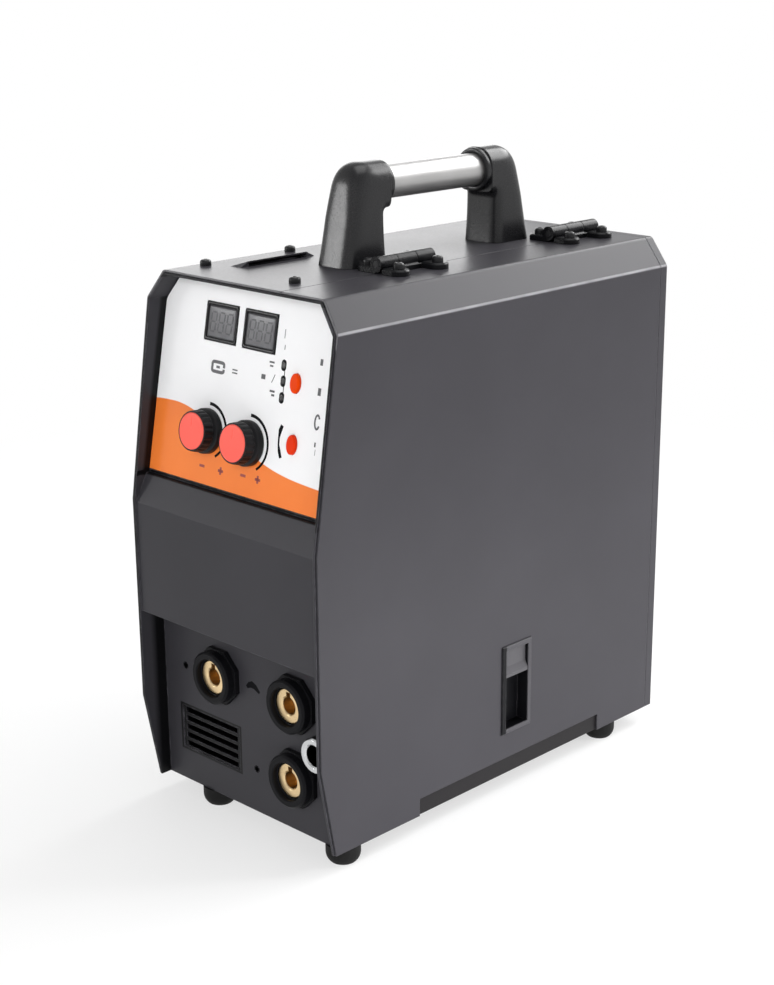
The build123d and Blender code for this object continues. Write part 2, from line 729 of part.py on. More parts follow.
def knob_cap(place):
    """Coloured cap pressed into the top of a knob, with a finger line across it."""
    head = OVERLAY + KNOB_HEIGHT
    seat = head - KNOB_CAP
    outline = Polygon(
        (0, seat),
        (KNOB_CAP_RADIUS, seat),
        (KNOB_CAP_RADIUS, head - KNOB_EDGE),
        (KNOB_CAP_RADIUS - KNOB_EDGE, head),
        (0, head),
        align=None,
    )
    cap = revolve(Plane.XZ * outline, Axis.Z)
    wide, long, deep = POINTER
    cap -= Pos(0, KNOB_CAP_RADIUS - long, head) * Box(wide, long, 2 * deep)
    return console_spot(place) * cap


def button(place):
    """Oval push button with a lip behind the console and a stem to its switch."""
    lip_top = -WALL - CONTROL_GAP
    body = console_at(place, lip_top, OVERLAY + BUTTON_PROUD, button_outline(0))
    rings = body.edges().filter_by(GeomType.ELLIPSE)
    crown = sorted(rings, key=lambda ring: CONSOLE.to_local_coords(ring.center()).Z)[-1]
    body = fillet(crown, BUTTON_CROWN)
    body += console_at(place, lip_top - BUTTON_LIP, lip_top, button_outline(BUTTON_LIP))
    stem_end = -BOARD_DEPTH + BOARD + BUTTON_TRAVEL + BUTTON_LIP
    return body + console_rod(place, stem_end, lip_top, SPINDLE_RADIUS)


def indicator_lights():
    """Light pipes from the control board to the console."""
    pipes = []
    for place in LIGHT_PLACES:
        pipes.append(console_rod(place, -BOARD_DEPTH + BOARD, OVERLAY + CONTROL_GAP, LIGHT_RADIUS))
    return pipes


def control_board():
    """Control board with its potentiometers, display modules, key switches and spacers."""
    face = -BOARD_DEPTH + BOARD
    board_wide, board_tall = BOARD_SIZE
    board = console_at(BOARD_MIDDLE, -BOARD_DEPTH, face, Rectangle(board_wide, board_tall * ROW_SCALE))
    wide, tall = DISPLAY_SIZE
    for place in DISPLAY_PLACES:
        module = Rectangle(wide - 3 * DISPLAY_LEDGE, tall - 3 * DISPLAY_LEDGE)
        board += console_at(place, face, 0, module)
    for place in KNOB_PLACES.values():
        board += console_rod(place, face, -WALL, POT_RADIUS)
        board -= console_rod(place, -2 * BOARD_DEPTH, 0, SPINDLE_RADIUS + RUNNING_FIT)
    for place in BUTTON_PLACES.values():
        board += console_at(place, face, face + BUTTON_LIP - KEY_GAP, Rectangle(KEY_SIZE, KEY_SIZE))
    inset = 2 * SPINDLE_RADIUS
    for x in (-1, 1):
        for y in (-1, 1):
            corner_x = BOARD_MIDDLE[0] + x * (board_wide / 2 - inset)
            corner_y = BOARD_MIDDLE[1] + y * (board_tall / 2 - inset)
            board += console_rod((corner_x, corner_y), face, -WALL, SPINDLE_RADIUS)
    return board


def socket_body(place):
    """Insulating collar with a chamfered square flange and a threaded shank."""
    x, height = place
    root = SOCKET_PANEL_DEPTH
    lip = root - SOCKET_PROUD
    floor = lip + SOCKET_SINK
    tail = root + SOCKET_SHANK
    mouth = SOCKET_RADIUS - SOCKET_LIP
    fit = CONTACT_RADIUS + RUNNING_FIT
    outline = [
        (fit, floor),
        (mouth, floor),
        (mouth, lip + SOCKET_EDGE / 2),
        (mouth + SOCKET_EDGE / 2, lip),
        (SOCKET_RADIUS - SOCKET_EDGE, lip),
        (SOCKET_RADIUS, lip + SOCKET_EDGE),
        (SOCKET_RADIUS, root),
        (SOCKET_SHANK_RADIUS, root),
        (SOCKET_SHANK_RADIUS, tail),
        (fit, tail),
    ]
    body = turned_y(outline, x, height)
    wide, thick = SOCKET_FLANGE
    face = Plane(origin=(x, root, height), x_dir=(1, 0, 0), z_dir=(0, -1, 0))
    flange = extrude(chamfer(Rectangle(wide, wide).vertices(), SOCKET_FLANGE_CUT), amount=thick)
    ring = face * flange - rod_y(x, 0, 2 * root, height, SOCKET_RADIUS - SOCKET_EDGE)
    return body + ring


def contact(place):
    """Brass contact with its plug bore and keyway, and the nut behind the panel."""
    x, height = place
    root = SOCKET_PANEL_DEPTH
    face = root - SOCKET_PROUD + SOCKET_SINK
    tail = face + CONTACT_LENGTH
    outline = [
        (PLUG_RADIUS, face + CONTACT_EDGE),
        (PLUG_RADIUS + CONTACT_EDGE, face),
        (CONTACT_RADIUS - CONTACT_EDGE, face),
        (CONTACT_RADIUS, face + CONTACT_EDGE),
        (CONTACT_RADIUS, tail),
        (0, tail),
        (0, face + PLUG_DEPTH),
        (PLUG_RADIUS, face + PLUG_DEPTH),
    ]
    body = turned_y(outline, x, height)
    wide, high = KEYWAY
    body -= block(x - wide / 2, x + wide / 2, face - CONTACT_EDGE, face + PLUG_DEPTH, height, height + high)
    body += rod_y(x, tail, tail + STUD, height, STUD_RADIUS)
    nut_face = root + WALL
    nut = hex_y(x, nut_face, nut_face + SOCKET_NUT, height, SOCKET_NUT_FLATS)
    nut -= rod_y(x, root, nut_face + 2 * SOCKET_NUT, height, SOCKET_SHANK_RADIUS + RUNNING_FIT)
    return [body, nut]


def torch_outlet():
    """Plated outlet tube for the torch, with a collar in front of the panel."""
    root = SOCKET_PANEL_DEPTH
    lip = root - TORCH_RING
    mouth, sink = TORCH_MOUTH
    outline = [
        (TORCH_BORE_RADIUS, TORCH_TAIL),
        (TORCH_BORE_RADIUS, lip + sink),
        (mouth, lip + sink),
        (mouth, lip + TORCH_EDGE),
        (mouth + TORCH_EDGE, lip),
        (TORCH_RING_RADIUS - TORCH_EDGE, lip),
        (TORCH_RING_RADIUS, lip + TORCH_EDGE),
        (TORCH_RING_RADIUS, root),
        (TORCH_TUBE_RADIUS, root),
        (TORCH_TUBE_RADIUS, TORCH_TAIL),
    ]
    return turned_y(outline, TORCH_X, TORCH_HEIGHT)


def post_plan(outer, inward, height):
    """Section of a handle post at a height above the top, rounded at its outer corners."""
    depth = POST_BASE + POST_BOSS + 2 * POST_EDGE
    near = outer + inward * POST_LEAN * height / (TUBE_AXIS_RISE + POST_HALF_WIDTH - POST_CORNER)
    middle = (near + outer + inward * depth) / 2
    plan = RectangleRounded(2 * POST_HALF_WIDTH, abs(outer + inward * depth - near), POST_EDGE)
    return Pos(0, middle, TOP + height) * plan


def handle_post(outer, inward):
    """Handle post: leaning rounded outer face, soft squared top, boss and collar towards the other post."""
    axis = TOP + TUBE_AXIS_RISE
    head = axis + POST_HALF_WIDTH
    heel = outer + inward * POST_BASE
    boss = heel + inward * POST_BOSS
    lip = boss - inward * POST_COLLAR
    brow = (outer + inward * POST_LEAN, head - POST_CORNER)
    crown = (brow[0] + inward * POST_CORNER, head)
    under = axis - POST_HALF_WIDTH
    curve = POST_BOSS - POST_COLLAR
    hollow = (heel, under - curve)
    face = Plane(origin=(-POST_HALF_WIDTH, 0, 0), x_dir=(0, 1, 0), z_dir=(1, 0, 0))
    side = make_face(
        Polyline(hollow, (heel, TOP), (outer, TOP), brow)
        + TangentArc(brow, crown, tangent=(inward * POST_LEAN, head - POST_CORNER - TOP))
        + Polyline(crown, (lip, head), (lip, under))
        + RadiusArc((lip, under), hollow, -inward * curve)
    )
    post = extrude(face * side, amount=2 * POST_HALF_WIDTH, dir=(1, 0, 0))
    front = Plane(origin=(0, 2 * CASE_LENGTH, 0), x_dir=(1, 0, 0), z_dir=(0, -1, 0))
    foot = TOP - 2 * POST_CROWN
    arch = Pos(0, (foot + head) / 2) * RectangleRounded(2 * POST_HALF_WIDTH, head - foot, POST_CROWN)
    post &= extrude(front * arch, amount=4 * CASE_LENGTH)
    post &= loft([post_plan(outer, inward, 0), post_plan(outer, inward, head - TOP)])
    post += rod_y(0, min(lip, boss), max(lip, boss), axis, POST_HALF_WIDTH - POST_COLLAR_INSET)
    seat = boss - inward * TUBE_SEAT
    post -= rod_y(0, min(seat, boss), max(seat, boss), axis, TUBE_RADIUS + RUNNING_FIT)
    for x, depth in bolt_places():
        post -= rod_z(x, depth, TOP - SHEET, TOP + BOLT_REACH - BOLT_HEAD, BOLT_RADIUS + RUNNING_FIT)
    return post


def handle_tube():
    """Aluminium grip tube between the posts."""
    reach = POST_BASE + POST_BOSS - TUBE_SEAT
    front, rear = POST_OUTER_DEPTHS
    axis = TOP + TUBE_AXIS_RISE
    tube = rod_y(0, front + reach, rear - reach, axis, TUBE_RADIUS)
    return tube - rod_y(0, front, rear, axis, TUBE_RADIUS - TUBE_WALL)


def handle_bolts():
    """Bolts from inside the top into the posts."""
    bolts = []
    under = TOP - SHEET
    for x, depth in bolt_places():
        shank = rod_z(x, depth, under, under + BOLT_REACH - BOLT_HEAD, BOLT_RADIUS)
        bolts.append(shank + rod_z(x, depth, under - BOLT_HEAD, under, BOLT_HEAD_RADIUS))
    return bolts


def hinge_knuckles(side):
    """Stretches along the pin that belong to the casing leaf (side -1) or the door leaf (side 1)."""
    inner = KNUCKLE / 2
    outer = HINGE_LENGTH / 2
    if side > 0:
        return [(-inner + KNUCKLE_GAP, inner - KNUCKLE_GAP)]
    return [(-outer, -inner), (inner, outer)]


def hinge_leaf(middle, side):
    """Hinge leaf with two rounded screw pads on a strip and its knuckles round the pin."""
    pad = HINGE_LENGTH / 2
    near = HINGE_SEAM + side * KNUCKLE_GAP
    strip = HINGE_BARREL_RADIUS + HINGE_EDGE
    plan = Rectangle(strip - KNUCKLE_GAP, HINGE_LENGTH)
    plan = Pos(HINGE_SEAM + side * (KNUCKLE_GAP + strip) / 2, middle) * plan
    screws = [place for place in hinge_screw_places(side) if abs(place[1] - middle) < pad]
    for x, depth in screws:
        plan += Pos(x, depth) * Circle(HINGE_PAD_RADIUS)
        plan += Pos((x + near) / 2, depth) * Rectangle(abs(x - near), 2 * HINGE_PAD_RADIUS)
    leaf = extrude(Pos(0, 0, TOP) * plan, amount=HINGE_LEAF, dir=(0, 0, 1))
    leaf = chamfer(leaf.faces().sort_by(Axis.Z)[-1].edges(), HINGE_EDGE)
    for start, end in hinge_knuckles(-side):
        room = HINGE_BARREL_RADIUS + KNUCKLE_GAP
        leaf -= rod_y(HINGE_SEAM, middle + start - KNUCKLE_GAP, middle + end + KNUCKLE_GAP, PIN_LINE, room)
        corner = sorted((HINGE_SEAM, HINGE_SEAM + side * room))
        leaf -= block(*corner, middle + start - KNUCKLE_GAP, middle + end + KNUCKLE_GAP, TOP, PIN_LINE)
    for start, end in hinge_knuckles(side):
        barrel = rod_y(HINGE_SEAM, middle + start, middle + end, PIN_LINE, HINGE_BARREL_RADIUS)
        web = sorted((HINGE_SEAM, HINGE_SEAM + side * HINGE_BARREL_RADIUS))
        leaf += barrel + block(*web, middle + start, middle + end, TOP + KNUCKLE_GAP, PIN_LINE)
    leaf -= rod_y(HINGE_SEAM, middle - pad, middle + pad, PIN_LINE, HINGE_PIN_RADIUS + RUNNING_FIT)
    for place in screws:
        leaf -= rod_z(*place, TOP, TOP + HINGE_LEAF, SCREW_RADIUS + SCREW_GAP)
    return leaf


def hinge_pins():
    """Pins through the knuckles of both hinges."""
    half = HINGE_LENGTH / 2
    ends = [(middle - half, middle + half) for middle in HINGE_DEPTHS.values()]
    return [rod_y(HINGE_SEAM, start, end, PIN_LINE, HINGE_PIN_RADIUS) for start, end in ends]


def screw(x, depth, seat):
    """Round-headed screw with a hex recess, its head on seat."""
    shank = rod_z(x, depth, seat - SCREW_REACH, seat, SCREW_RADIUS)
    head = rod_z(x, depth, seat, seat + SCREW_HEAD, SCREW_HEAD_RADIUS)
    head = fillet(head.edges().sort_by(Axis.Z)[-1], SCREW_HEAD / 2)
    head -= Pos(x, depth, seat + SCREW_HEAD / 2) * extrude(RegularPolygon(SCREW_DRIVE, 6), amount=SCREW_HEAD)
    return shank + head


def cover_screws():
    """Screws in the cover and in the fixed leaves of the hinges."""
    screws = [screw(*place, TOP) for place in TOP_SCREWS]
    return screws + [screw(*place, TOP + HINGE_LEAF) for place in hinge_screw_places(-1)]


def door_screws():
    """Screws in the door leaves of the hinges."""
    return [screw(*place, TOP + HINGE_LEAF) for place in hinge_screw_places(1)]


def latch_span(margin):
    """Depth and height limits of the latch, drawn in by margin."""
    half = LATCH_SIZE[0] / 2 - margin
    return (LATCH_DEPTH - half, LATCH_DEPTH + half, LATCH_FOOT + margin, LATCH_TOP - margin)


def latch_frame():
    """Latch frame in the door: flange, walls and the floor of the finger recess."""
    back = HALF - LATCH_CUP
    frame = block(HALF, HALF + LATCH_PROUD, *latch_span(0))
    frame = chamfer(frame.edges().group_by(Axis.X)[-1], LATCH_PROUD / 2)
    frame += block(back, HALF, *latch_span(LATCH_BORDER - LATCH_WALL))
    y0, y1, z0, z1 = latch_span(LATCH_BORDER)
    floor = z0 + LATCH_RECESS
    frame -= block(back + LATCH_WALL, HALF + 2 * LATCH_PROUD, y0, y1, z0, z1)
    return frame - block(back - LATCH_WALL, HALF, y0, y1, floor, z1)


def latch_slide():
    """Sliding bolt: finger plate with a grip ridge, web and the tongue behind the recess."""
    y0, y1, z0, z1 = latch_span(LATCH_BORDER + LATCH_GAP)
    foot = z0 + LATCH_RECESS + LATCH_GAP
    face = HALF + LATCH_PROUD - LATCH_PLATE_SINK
    back = face - LATCH_PLATE
    slide = block(back, face, y0, y1, foot, z1)
    tip = face + LATCH_GRIP
    ridge = [(face, foot), (tip, foot), (tip, foot + LATCH_GRIP), (face, foot + 3 * LATCH_GRIP)]
    slide += slab_y(ridge, y0, y1)
    wide, thick = TONGUE
    web_foot = foot + LATCH_TRAVEL + LATCH_GAP
    web_head = web_foot + 3 * thick
    y0, y1 = LATCH_DEPTH - wide / 2, LATCH_DEPTH + wide / 2
    slide += block(KEEPER_X - thick, back, y0, y1, web_foot, web_head)
    return slide + block(KEEPER_X - thick, KEEPER_X, y0, y1, PAN_FLANGE + TONGUE_GAP, web_head)


def foot_places():
    """Places of the four feet."""
    return [
        (x, y)
        for x in (FOOT_INSET_LEFT - HALF, HALF - FOOT_INSET_RIGHT)
        for y in (FOOT_FRONT, CASE_LENGTH - FOOT_REAR)
    ]


def rubber_feet():
    """Four domed rubber feet under the base pan."""
    outline = make_face(
        Polyline((0, -FOOT_HEIGHT), (0, 0), (FOOT_RADIUS, 0), (FOOT_RADIUS, -FOOT_WAIST))
        + RadiusArc((FOOT_RADIUS, -FOOT_WAIST), (FOOT_TIP_RADIUS, -FOOT_HEIGHT), FOOT_BULGE)
        + Line((FOOT_TIP_RADIUS, -FOOT_HEIGHT), (0, -FOOT_HEIGHT))
    )
    foot = revolve(Plane.XZ * outline, Axis.Z)
    return [Pos(x, y, 0) * foot for x, y in foot_places()]


def base_pan():
    """Base pan with side flanges, front and rear tabs and the keeper of the door latch."""
    half = HALF - SKIN
    narrow = INNER_HALF - SEAM
    tail = half - WALL - SEAM
    front = SOCKET_PANEL_DEPTH + WALL
    wide_front = RIM_DEPTH + SEAM
    back = REAR_PLANE - REAR_LIP - SEAM
    pan = block(-narrow, narrow, front, wide_front, 0, SHEET) + block(-half, half, wide_front, back, 0, SHEET)
    pan += block(-tail, tail, back, REAR_WALL, 0, SHEET)
    pan += block(-narrow, narrow, front, front + SHEET, 0, PAN_FLANGE)
    pan += block(-tail, tail, REAR_WALL - SHEET, REAR_WALL, 0, PAN_FLANGE)
    for side in (-1, 1):
        flange = sorted((side * half, side * (half - SHEET)))
        pan += block(*flange, wide_front, back, 0, PAN_FLANGE)
    wide, thick = TONGUE
    lip = 1.5 * wide
    low, high = PAN_FLANGE - SHEET, PAN_FLANGE
    keeper = block(half - KEEPER_REACH, half, LATCH_DEPTH - lip, LATCH_DEPTH + lip, low, high)
    slot = wide / 2 + LATCH_GAP
    keeper -= block(
        KEEPER_X - thick - LATCH_GAP,
        KEEPER_X + LATCH_GAP,
        LATCH_DEPTH - slot,
        LATCH_DEPTH + slot,
        0,
        2 * PAN_FLANGE,
    )
    return pan + keeper


def fan_slots():
    """Ring slots of the fan grille, each broken by four bars."""
    x, height = FAN_PLACE
    slots = None
    for step in range(FAN_RINGS):
        radius = FAN_BLADE_RADIUS - step * FAN_RING_PITCH
        ring = rod_y(x, REAR_PLANE, CASE_LENGTH + WALL, height, radius)
        ring -= rod_y(x, REAR_PLANE - WALL, CASE_LENGTH + 2 * WALL, height, radius - FAN_SLOT)
        slots = ring if slots is None else slots + ring
    for turn in (45, 135):
        bar = Box(2.4 * FAN_DUCT_RADIUS, 4 * REAR_RIM, FAN_STRUT)
        slots -= Pos(x, CASE_LENGTH, height) * Rot(0, turn, 0) * bar
    return slots


def rear_panel():
    """Rear panel: shallow tray flush with the covers, lip under their edges, fan grille and fitting holes."""
    panel = casing_bar(REAR_PLANE, CASE_LENGTH)
    panel -= slab_y(casing_section(SKIN + WALL, SKIN + WALL, -WALL), REAR_PLANE - WALL, REAR_WALL)
    lip = slab_y(casing_section(SKIN, SKIN), REAR_PLANE - REAR_LIP, REAR_PLANE)
    lip -= slab_y(casing_section(SKIN + WALL, SKIN + WALL, -WALL), 0, CASE_LENGTH)
    panel += lip - block(-HALF, HALF, 0, CASE_LENGTH, -WALL, REAR_LIP_FOOT)
    panel -= fan_slots()
    x, height = SWITCH_PLACE
    wide, tall = SWITCH_SIZE
    panel -= block(
        x - wide / 2 - CONTROL_GAP,
        x + wide / 2 + CONTROL_GAP,
        REAR_PLANE,
        CASE_LENGTH + WALL,
        height - tall / 2 - CONTROL_GAP,
        height + tall / 2 + CONTROL_GAP,
    )
    for (x, height), radius in ((GLAND_PLACE, GLAND_NECK_RADIUS), (GAS_PLACE, GAS_BARB_RADIUS)):
        panel -= rod_y(x, REAR_PLANE, CASE_LENGTH + WALL, height, radius + CONTROL_GAP)
    return panel


def divider_plate():
    """Upright plate between the bays, with a flange under the top seam and one on the pan."""
    front = RIM_DEPTH + SEAM
    back = REAR_PLANE - REAR_LIP - SEAM
    head = TOP - SKIN
    plate = block(DIVIDER_X, DIVIDER_FACE, front, back, SHEET, head)
    plate += block(DIVIDER_X, DIVIDER_X + DIVIDER_FLANGE, front, back, head - SHEET, head)
    plate += block(DIVIDER_X, DIVIDER_X + DIVIDER_FOOT, front, back, SHEET, 2 * SHEET)
    room = GEARBOX_RADIUS + DIVIDER_MOTOR_GAP
    plate -= rod_x(DIVIDER_X - SHEET, DIVIDER_FACE + SHEET, FEED_DEPTH, ROLL_LOW, room)
    for place in hinge_screw_places(-1):
        plate -= rod_z(*place, head - 2 * SHEET, head + SHEET, SCREW_RADIUS + SCREW_GAP)
    return plate


def fan_frame():
    """Square fan frame with its duct, motor seat and struts."""
    x, height = FAN_PLACE
    half = FAN_SIZE / 2
    back = REAR_WALL
    front = back - FAN_DEPTH
    frame = block(x - half, x + half, front, back, height - half, height + half)
    frame = fillet(frame.edges().filter_by(Axis.Y), FAN_CORNER)
    frame -= rod_y(x, front - WALL, back + WALL, height, FAN_DUCT_RADIUS)
    for turn in (0, 90):
        bar = Box(2 * FAN_DUCT_RADIUS + FAN_GAP, FAN_STRUT, FAN_STRUT)
        frame += Pos(x, front + FAN_STRUT / 2, height) * Rot(0, turn, 0) * bar
    frame += rod_y(x, front, front + FAN_STRUT, height, FAN_HUB_RADIUS)
    return frame - rod_y(x, front - WALL, front + 2 * FAN_STRUT, height, FAN_SHAFT_RADIUS + RUNNING_FIT)


def fan_rotor():
    """Fan rotor: hub, shaft and twisted blades."""
    x, height = FAN_PLACE
    front = REAR_WALL - FAN_DEPTH + FAN_STRUT + FAN_GAP
    back = REAR_WALL - WALL
    middle = (front + back) / 2
    rotor = rod_y(x, front, back, height, FAN_HUB_RADIUS)
    rotor = fillet(rotor.edges().sort_by(Axis.Y)[-1], FAN_HUB_EDGE)
    rotor += rod_y(x, front - FAN_STRUT, front, height, FAN_SHAFT_RADIUS)
    chord = back - front - FAN_HUB_EDGE
    for blade in range(FAN_BLADES):
        sections = []
        for radius, pitch in zip((FAN_HUB_RADIUS - FAN_BLADE, FAN_BLADE_RADIUS), FAN_PITCH):
            face = Plane(origin=(0, 0, radius), x_dir=(1, 0, 0), z_dir=(0, 0, 1))
            sections.append(face * Rot(0, 0, pitch) * Rectangle(chord, FAN_BLADE))
        rotor += Pos(x, middle, height) * Rot(0, 360 / FAN_BLADES * blade, 0) * loft(sections)
    return rotor


def mains_switch():
    """Mains switch housing with its frame outside the rear panel."""
    x, height = SWITCH_PLACE
    wide, tall = SWITCH_SIZE
    rim = SWITCH_FRAME
    front = CASE_LENGTH - SWITCH_DEPTH
    body = block(x - wide / 2, x + wide / 2, front, CASE_LENGTH, height - tall / 2, height + tall / 2)
    body += block(
        x - wide / 2 - rim,
        x + wide / 2 + rim,
        CASE_LENGTH,
        CASE_LENGTH + rim,
        height - tall / 2 - rim,
        height + tall / 2 + rim,
    )
    body -= block(
        x - wide / 2 + rim,
        x + wide / 2 - rim,
        CASE_LENGTH - SWITCH_DEPTH / 2,
        CASE_LENGTH + 2 * rim,
        height - tall / 2 + rim,
        height + tall / 2 - rim,
    )
    axis = CASE_LENGTH - rim
    return body + rod_x(x - wide / 2 + rim, x + wide / 2 - rim, axis, height, SWITCH_FRAME / 2)


def mains_rocker():
    """Rocker on its pin, tipped to the off side."""
    x, height = SWITCH_PLACE
    wide, tall = SWITCH_SIZE
    rim = SWITCH_FRAME
    axis = CASE_LENGTH - rim
    half = tall / 2 - rim - ROCKER_GAP
    root = half - 2 * rim
    dip = math.tan(math.radians(ROCKER_TILT)) * half
    outline = [
        (axis - 2 * rim, height - root),
        (axis - 2 * rim, height + root),
        (axis + 2 * rim + dip, height + half),
        (axis + 2 * rim, height),
        (axis + 2 * rim + dip, height - half),
    ]
    rocker = slab_x(outline, x - wide / 2 + rim + CONTROL_GAP, x + wide / 2 - rim - CONTROL_GAP)
    rocker -= rod_x(x - wide, x + wide, axis, height, SWITCH_FRAME / 2 + RUNNING_FIT)
    return rocker.rotate(Axis((x, axis, height), (1, 0, 0)), -ROCKER_TILT)


def cable_gland():
    """Cable gland through the rear panel: body, dome nut and lock nut."""
    x, height = GLAND_PLACE
    root = CASE_LENGTH + GLAND_HEX
    tip = CASE_LENGTH + GLAND_REACH
    gland = hex_y(x, CASE_LENGTH, root, height, 2 * GLAND_RADIUS)
    outline = [
        (0, REAR_WALL - GLAND_DOME),
        (GLAND_NECK_RADIUS, REAR_WALL - GLAND_DOME),
        (GLAND_NECK_RADIUS, root),
        (GLAND_RADIUS, root),
        (GLAND_RADIUS, tip - GLAND_DOME),
        (GLAND_TIP_RADIUS, tip),
        (0, tip),
    ]
    gland += turned_y(outline, x, height)
    gland += hex_y(x, REAR_WALL - GLAND_HEX, REAR_WALL, height, 2 * GLAND_RADIUS)
    return gland - rod_y(x, REAR_WALL - 2 * GLAND_DOME, tip + WALL, height, GLAND_BORE_RADIUS)


def gas_inlet():
    """Brass gas inlet with hose barbs outside and a thread into the valve."""
    x, height = GAS_PLACE
    root = CASE_LENGTH + GAS_HEX_LENGTH
    tip = CASE_LENGTH + REAR_REACH
    inlet = hex_y(x, CASE_LENGTH, root, height, GAS_HEX)
    step = (tip - root) / GAS_BARBS
    tail = REAR_WALL - GAS_THREAD
    outline = [(0, tail), (GAS_BARB_RADIUS, tail), (GAS_BARB_RADIUS, root)]
    for barb in range(GAS_BARBS):
        outline += [(GAS_BARB_RADIUS, root + barb * step), (GAS_BARB_ROOT, root + (barb + 1) * step)]
    outline += [(0, tip)]
    inlet += turned_y(outline, x, height)
    return inlet - rod_y(x, tail - WALL, tip + WALL, height, GAS_BORE_RADIUS)


def gas_valve():
    """Gas solenoid valve: body round the inlet thread, coil and outlet stub."""
    x, height = GAS_PLACE
    wide, long, tall = VALVE_SIZE
    back = REAR_WALL
    front = back - long
    valve = block(x - wide / 2, x + wide / 2, front, back, height - tall / 2, height)
    valve += rod_z(x, (front + back) / 2, height, height + tall / 2, VALVE_COIL_RADIUS)
    valve -= rod_y(x, back - GAS_THREAD, back + WALL, height, GAS_BARB_RADIUS + RUNNING_FIT)
    valve += rod_y(x, front - VALVE_STUB, front, height - tall / 4, GAS_BARB_RADIUS)
    tab = front + VALVE_STUB
    return valve + block(DIVIDER_FACE, x - wide / 2, tab - VALVE_TAB, tab, height - tall / 2, height)


def feeder_plate():
    """Feeder plate with its standoffs, torch clamp, guide bracket and the pivot pins."""
    y0, y1 = FEED_PLATE_FRONT, FEED_PLATE_REAR
    z0, z1 = FEED_PLATE_FOOT, FEED_PLATE_HEAD
    step_y = TENSION_PIVOT[0] - TENSION_KNOB_RADIUS - FEED_STANDOFF_RADIUS
    step_z = ARM_END[1] + ARM_HALF_HEIGHT
    outline = [(y0, z0), (y1, z0), (y1, step_z), (step_y, step_z), (step_y, z1), (y0, z1)]
    plate = slab_x(outline, PLATE_LEFT, PLATE_RIGHT)
    plate = fillet(plate.edges().filter_by(Axis.X), FEED_STANDOFF_RADIUS)
    inset = FEED_STANDOFF_RADIUS + RUNNING_FIT
    for y, z_top in ((y0 + inset, z1), (y1 - inset, step_z)):
        for z in (z0 + inset, z_top - inset):
            plate += rod_x(DIVIDER_FACE, PLATE_LEFT, y, z, FEED_STANDOFF_RADIUS)
    plate -= rod_x(PLATE_LEFT - WALL, PLATE_RIGHT + WALL, FEED_DEPTH, ROLL_LOW, SHAFT_ROOM_RADIUS)
    room = TORCH_TUBE_RADIUS + CLAMP_WALL
    clamp = block(PLATE_RIGHT, TORCH_X + room, y0, TORCH_TAIL, TORCH_HEIGHT - room, TORCH_HEIGHT + room)
    plate += clamp - rod_y(TORCH_X, 0, CASE_LENGTH, TORCH_HEIGHT, TORCH_TUBE_RADIUS + RUNNING_FIT)
    room = GUIDE_RADIUS + CLAMP_WALL
    start, end = GUIDE_BRACKET
    beam = TENSION_PIVOT[1] - CLAMP_WALL
    bracket = block(PLATE_RIGHT, TORCH_X + room, start, end, beam - 2 * CLAMP_WALL, beam)
    bracket += block(TORCH_X - room, TORCH_X + room, start, end, beam - 2 * CLAMP_WALL, TORCH_HEIGHT + room)
    plate += bracket - rod_y(TORCH_X, 0, CASE_LENGTH, TORCH_HEIGHT, GUIDE_RADIUS + RUNNING_FIT)
    plate += rod_x(PLATE_RIGHT, ARM_RIGHT + AXLE_COLLAR, *ARM_PIVOT, ARM_PIN_RADIUS)
    return plate + rod_x(PLATE_RIGHT, ARM_RIGHT, *TENSION_PIVOT, TENSION_PIN_RADIUS)


def gear_motor():
    """Gear motor behind the feeder plate: gearbox and can."""
    face = PLATE_LEFT
    back = face - GEARBOX
    tail = back - MOTOR
    motor = rod_x(back, face, FEED_DEPTH, ROLL_LOW, GEARBOX_RADIUS)
    motor = chamfer(motor.edges().sort_by(Axis.X)[0], GEARBOX_EDGE)
    motor += rod_x(tail, back, FEED_DEPTH, ROLL_LOW, MOTOR_RADIUS)
    motor += rod_x(tail - MOTOR_TAIL, tail, FEED_DEPTH, ROLL_LOW, MOTOR_TAIL_RADIUS)
    bore = ROLL_BORE_RADIUS + RUNNING_FIT
    return motor - rod_x(face - GEARBOX / 2, face + WALL, FEED_DEPTH, ROLL_LOW, bore)


def drive_shaft():
    """Output shaft of the gearbox with its collar and retaining cap."""
    start = PLATE_LEFT - GEARBOX / 2 + END_PLAY
    cap = ROLL_RIGHT + END_PLAY
    collar = ROLL_LEFT - END_PLAY
    shaft = rod_x(start, cap, FEED_DEPTH, ROLL_LOW, ROLL_BORE_RADIUS)
    shaft += rod_x(cap, cap + SHAFT_CAP, FEED_DEPTH, ROLL_LOW, SHAFT_COLLAR_RADIUS)
    return shaft + rod_x(collar - SHAFT_COLLAR, collar, FEED_DEPTH, ROLL_LOW, SHAFT_COLLAR_RADIUS)


def roll(height, bore):
    """Feed roll with two wire grooves."""
    outline = [(ROLL_LEFT, bore), (ROLL_LEFT, ROLL_RADIUS)]
    for groove in ROLL_GROOVES:
        x = ROLL_LEFT + groove
        outline += [(x - GROOVE_RADIUS, ROLL_RADIUS), (x, ROLL_RADIUS - GROOVE_RADIUS)]
        outline += [(x + GROOVE_RADIUS, ROLL_RADIUS)]
    outline += [(ROLL_RIGHT, ROLL_RADIUS), (ROLL_RIGHT, bore)]
    return turned_x(outline, FEED_DEPTH, height)


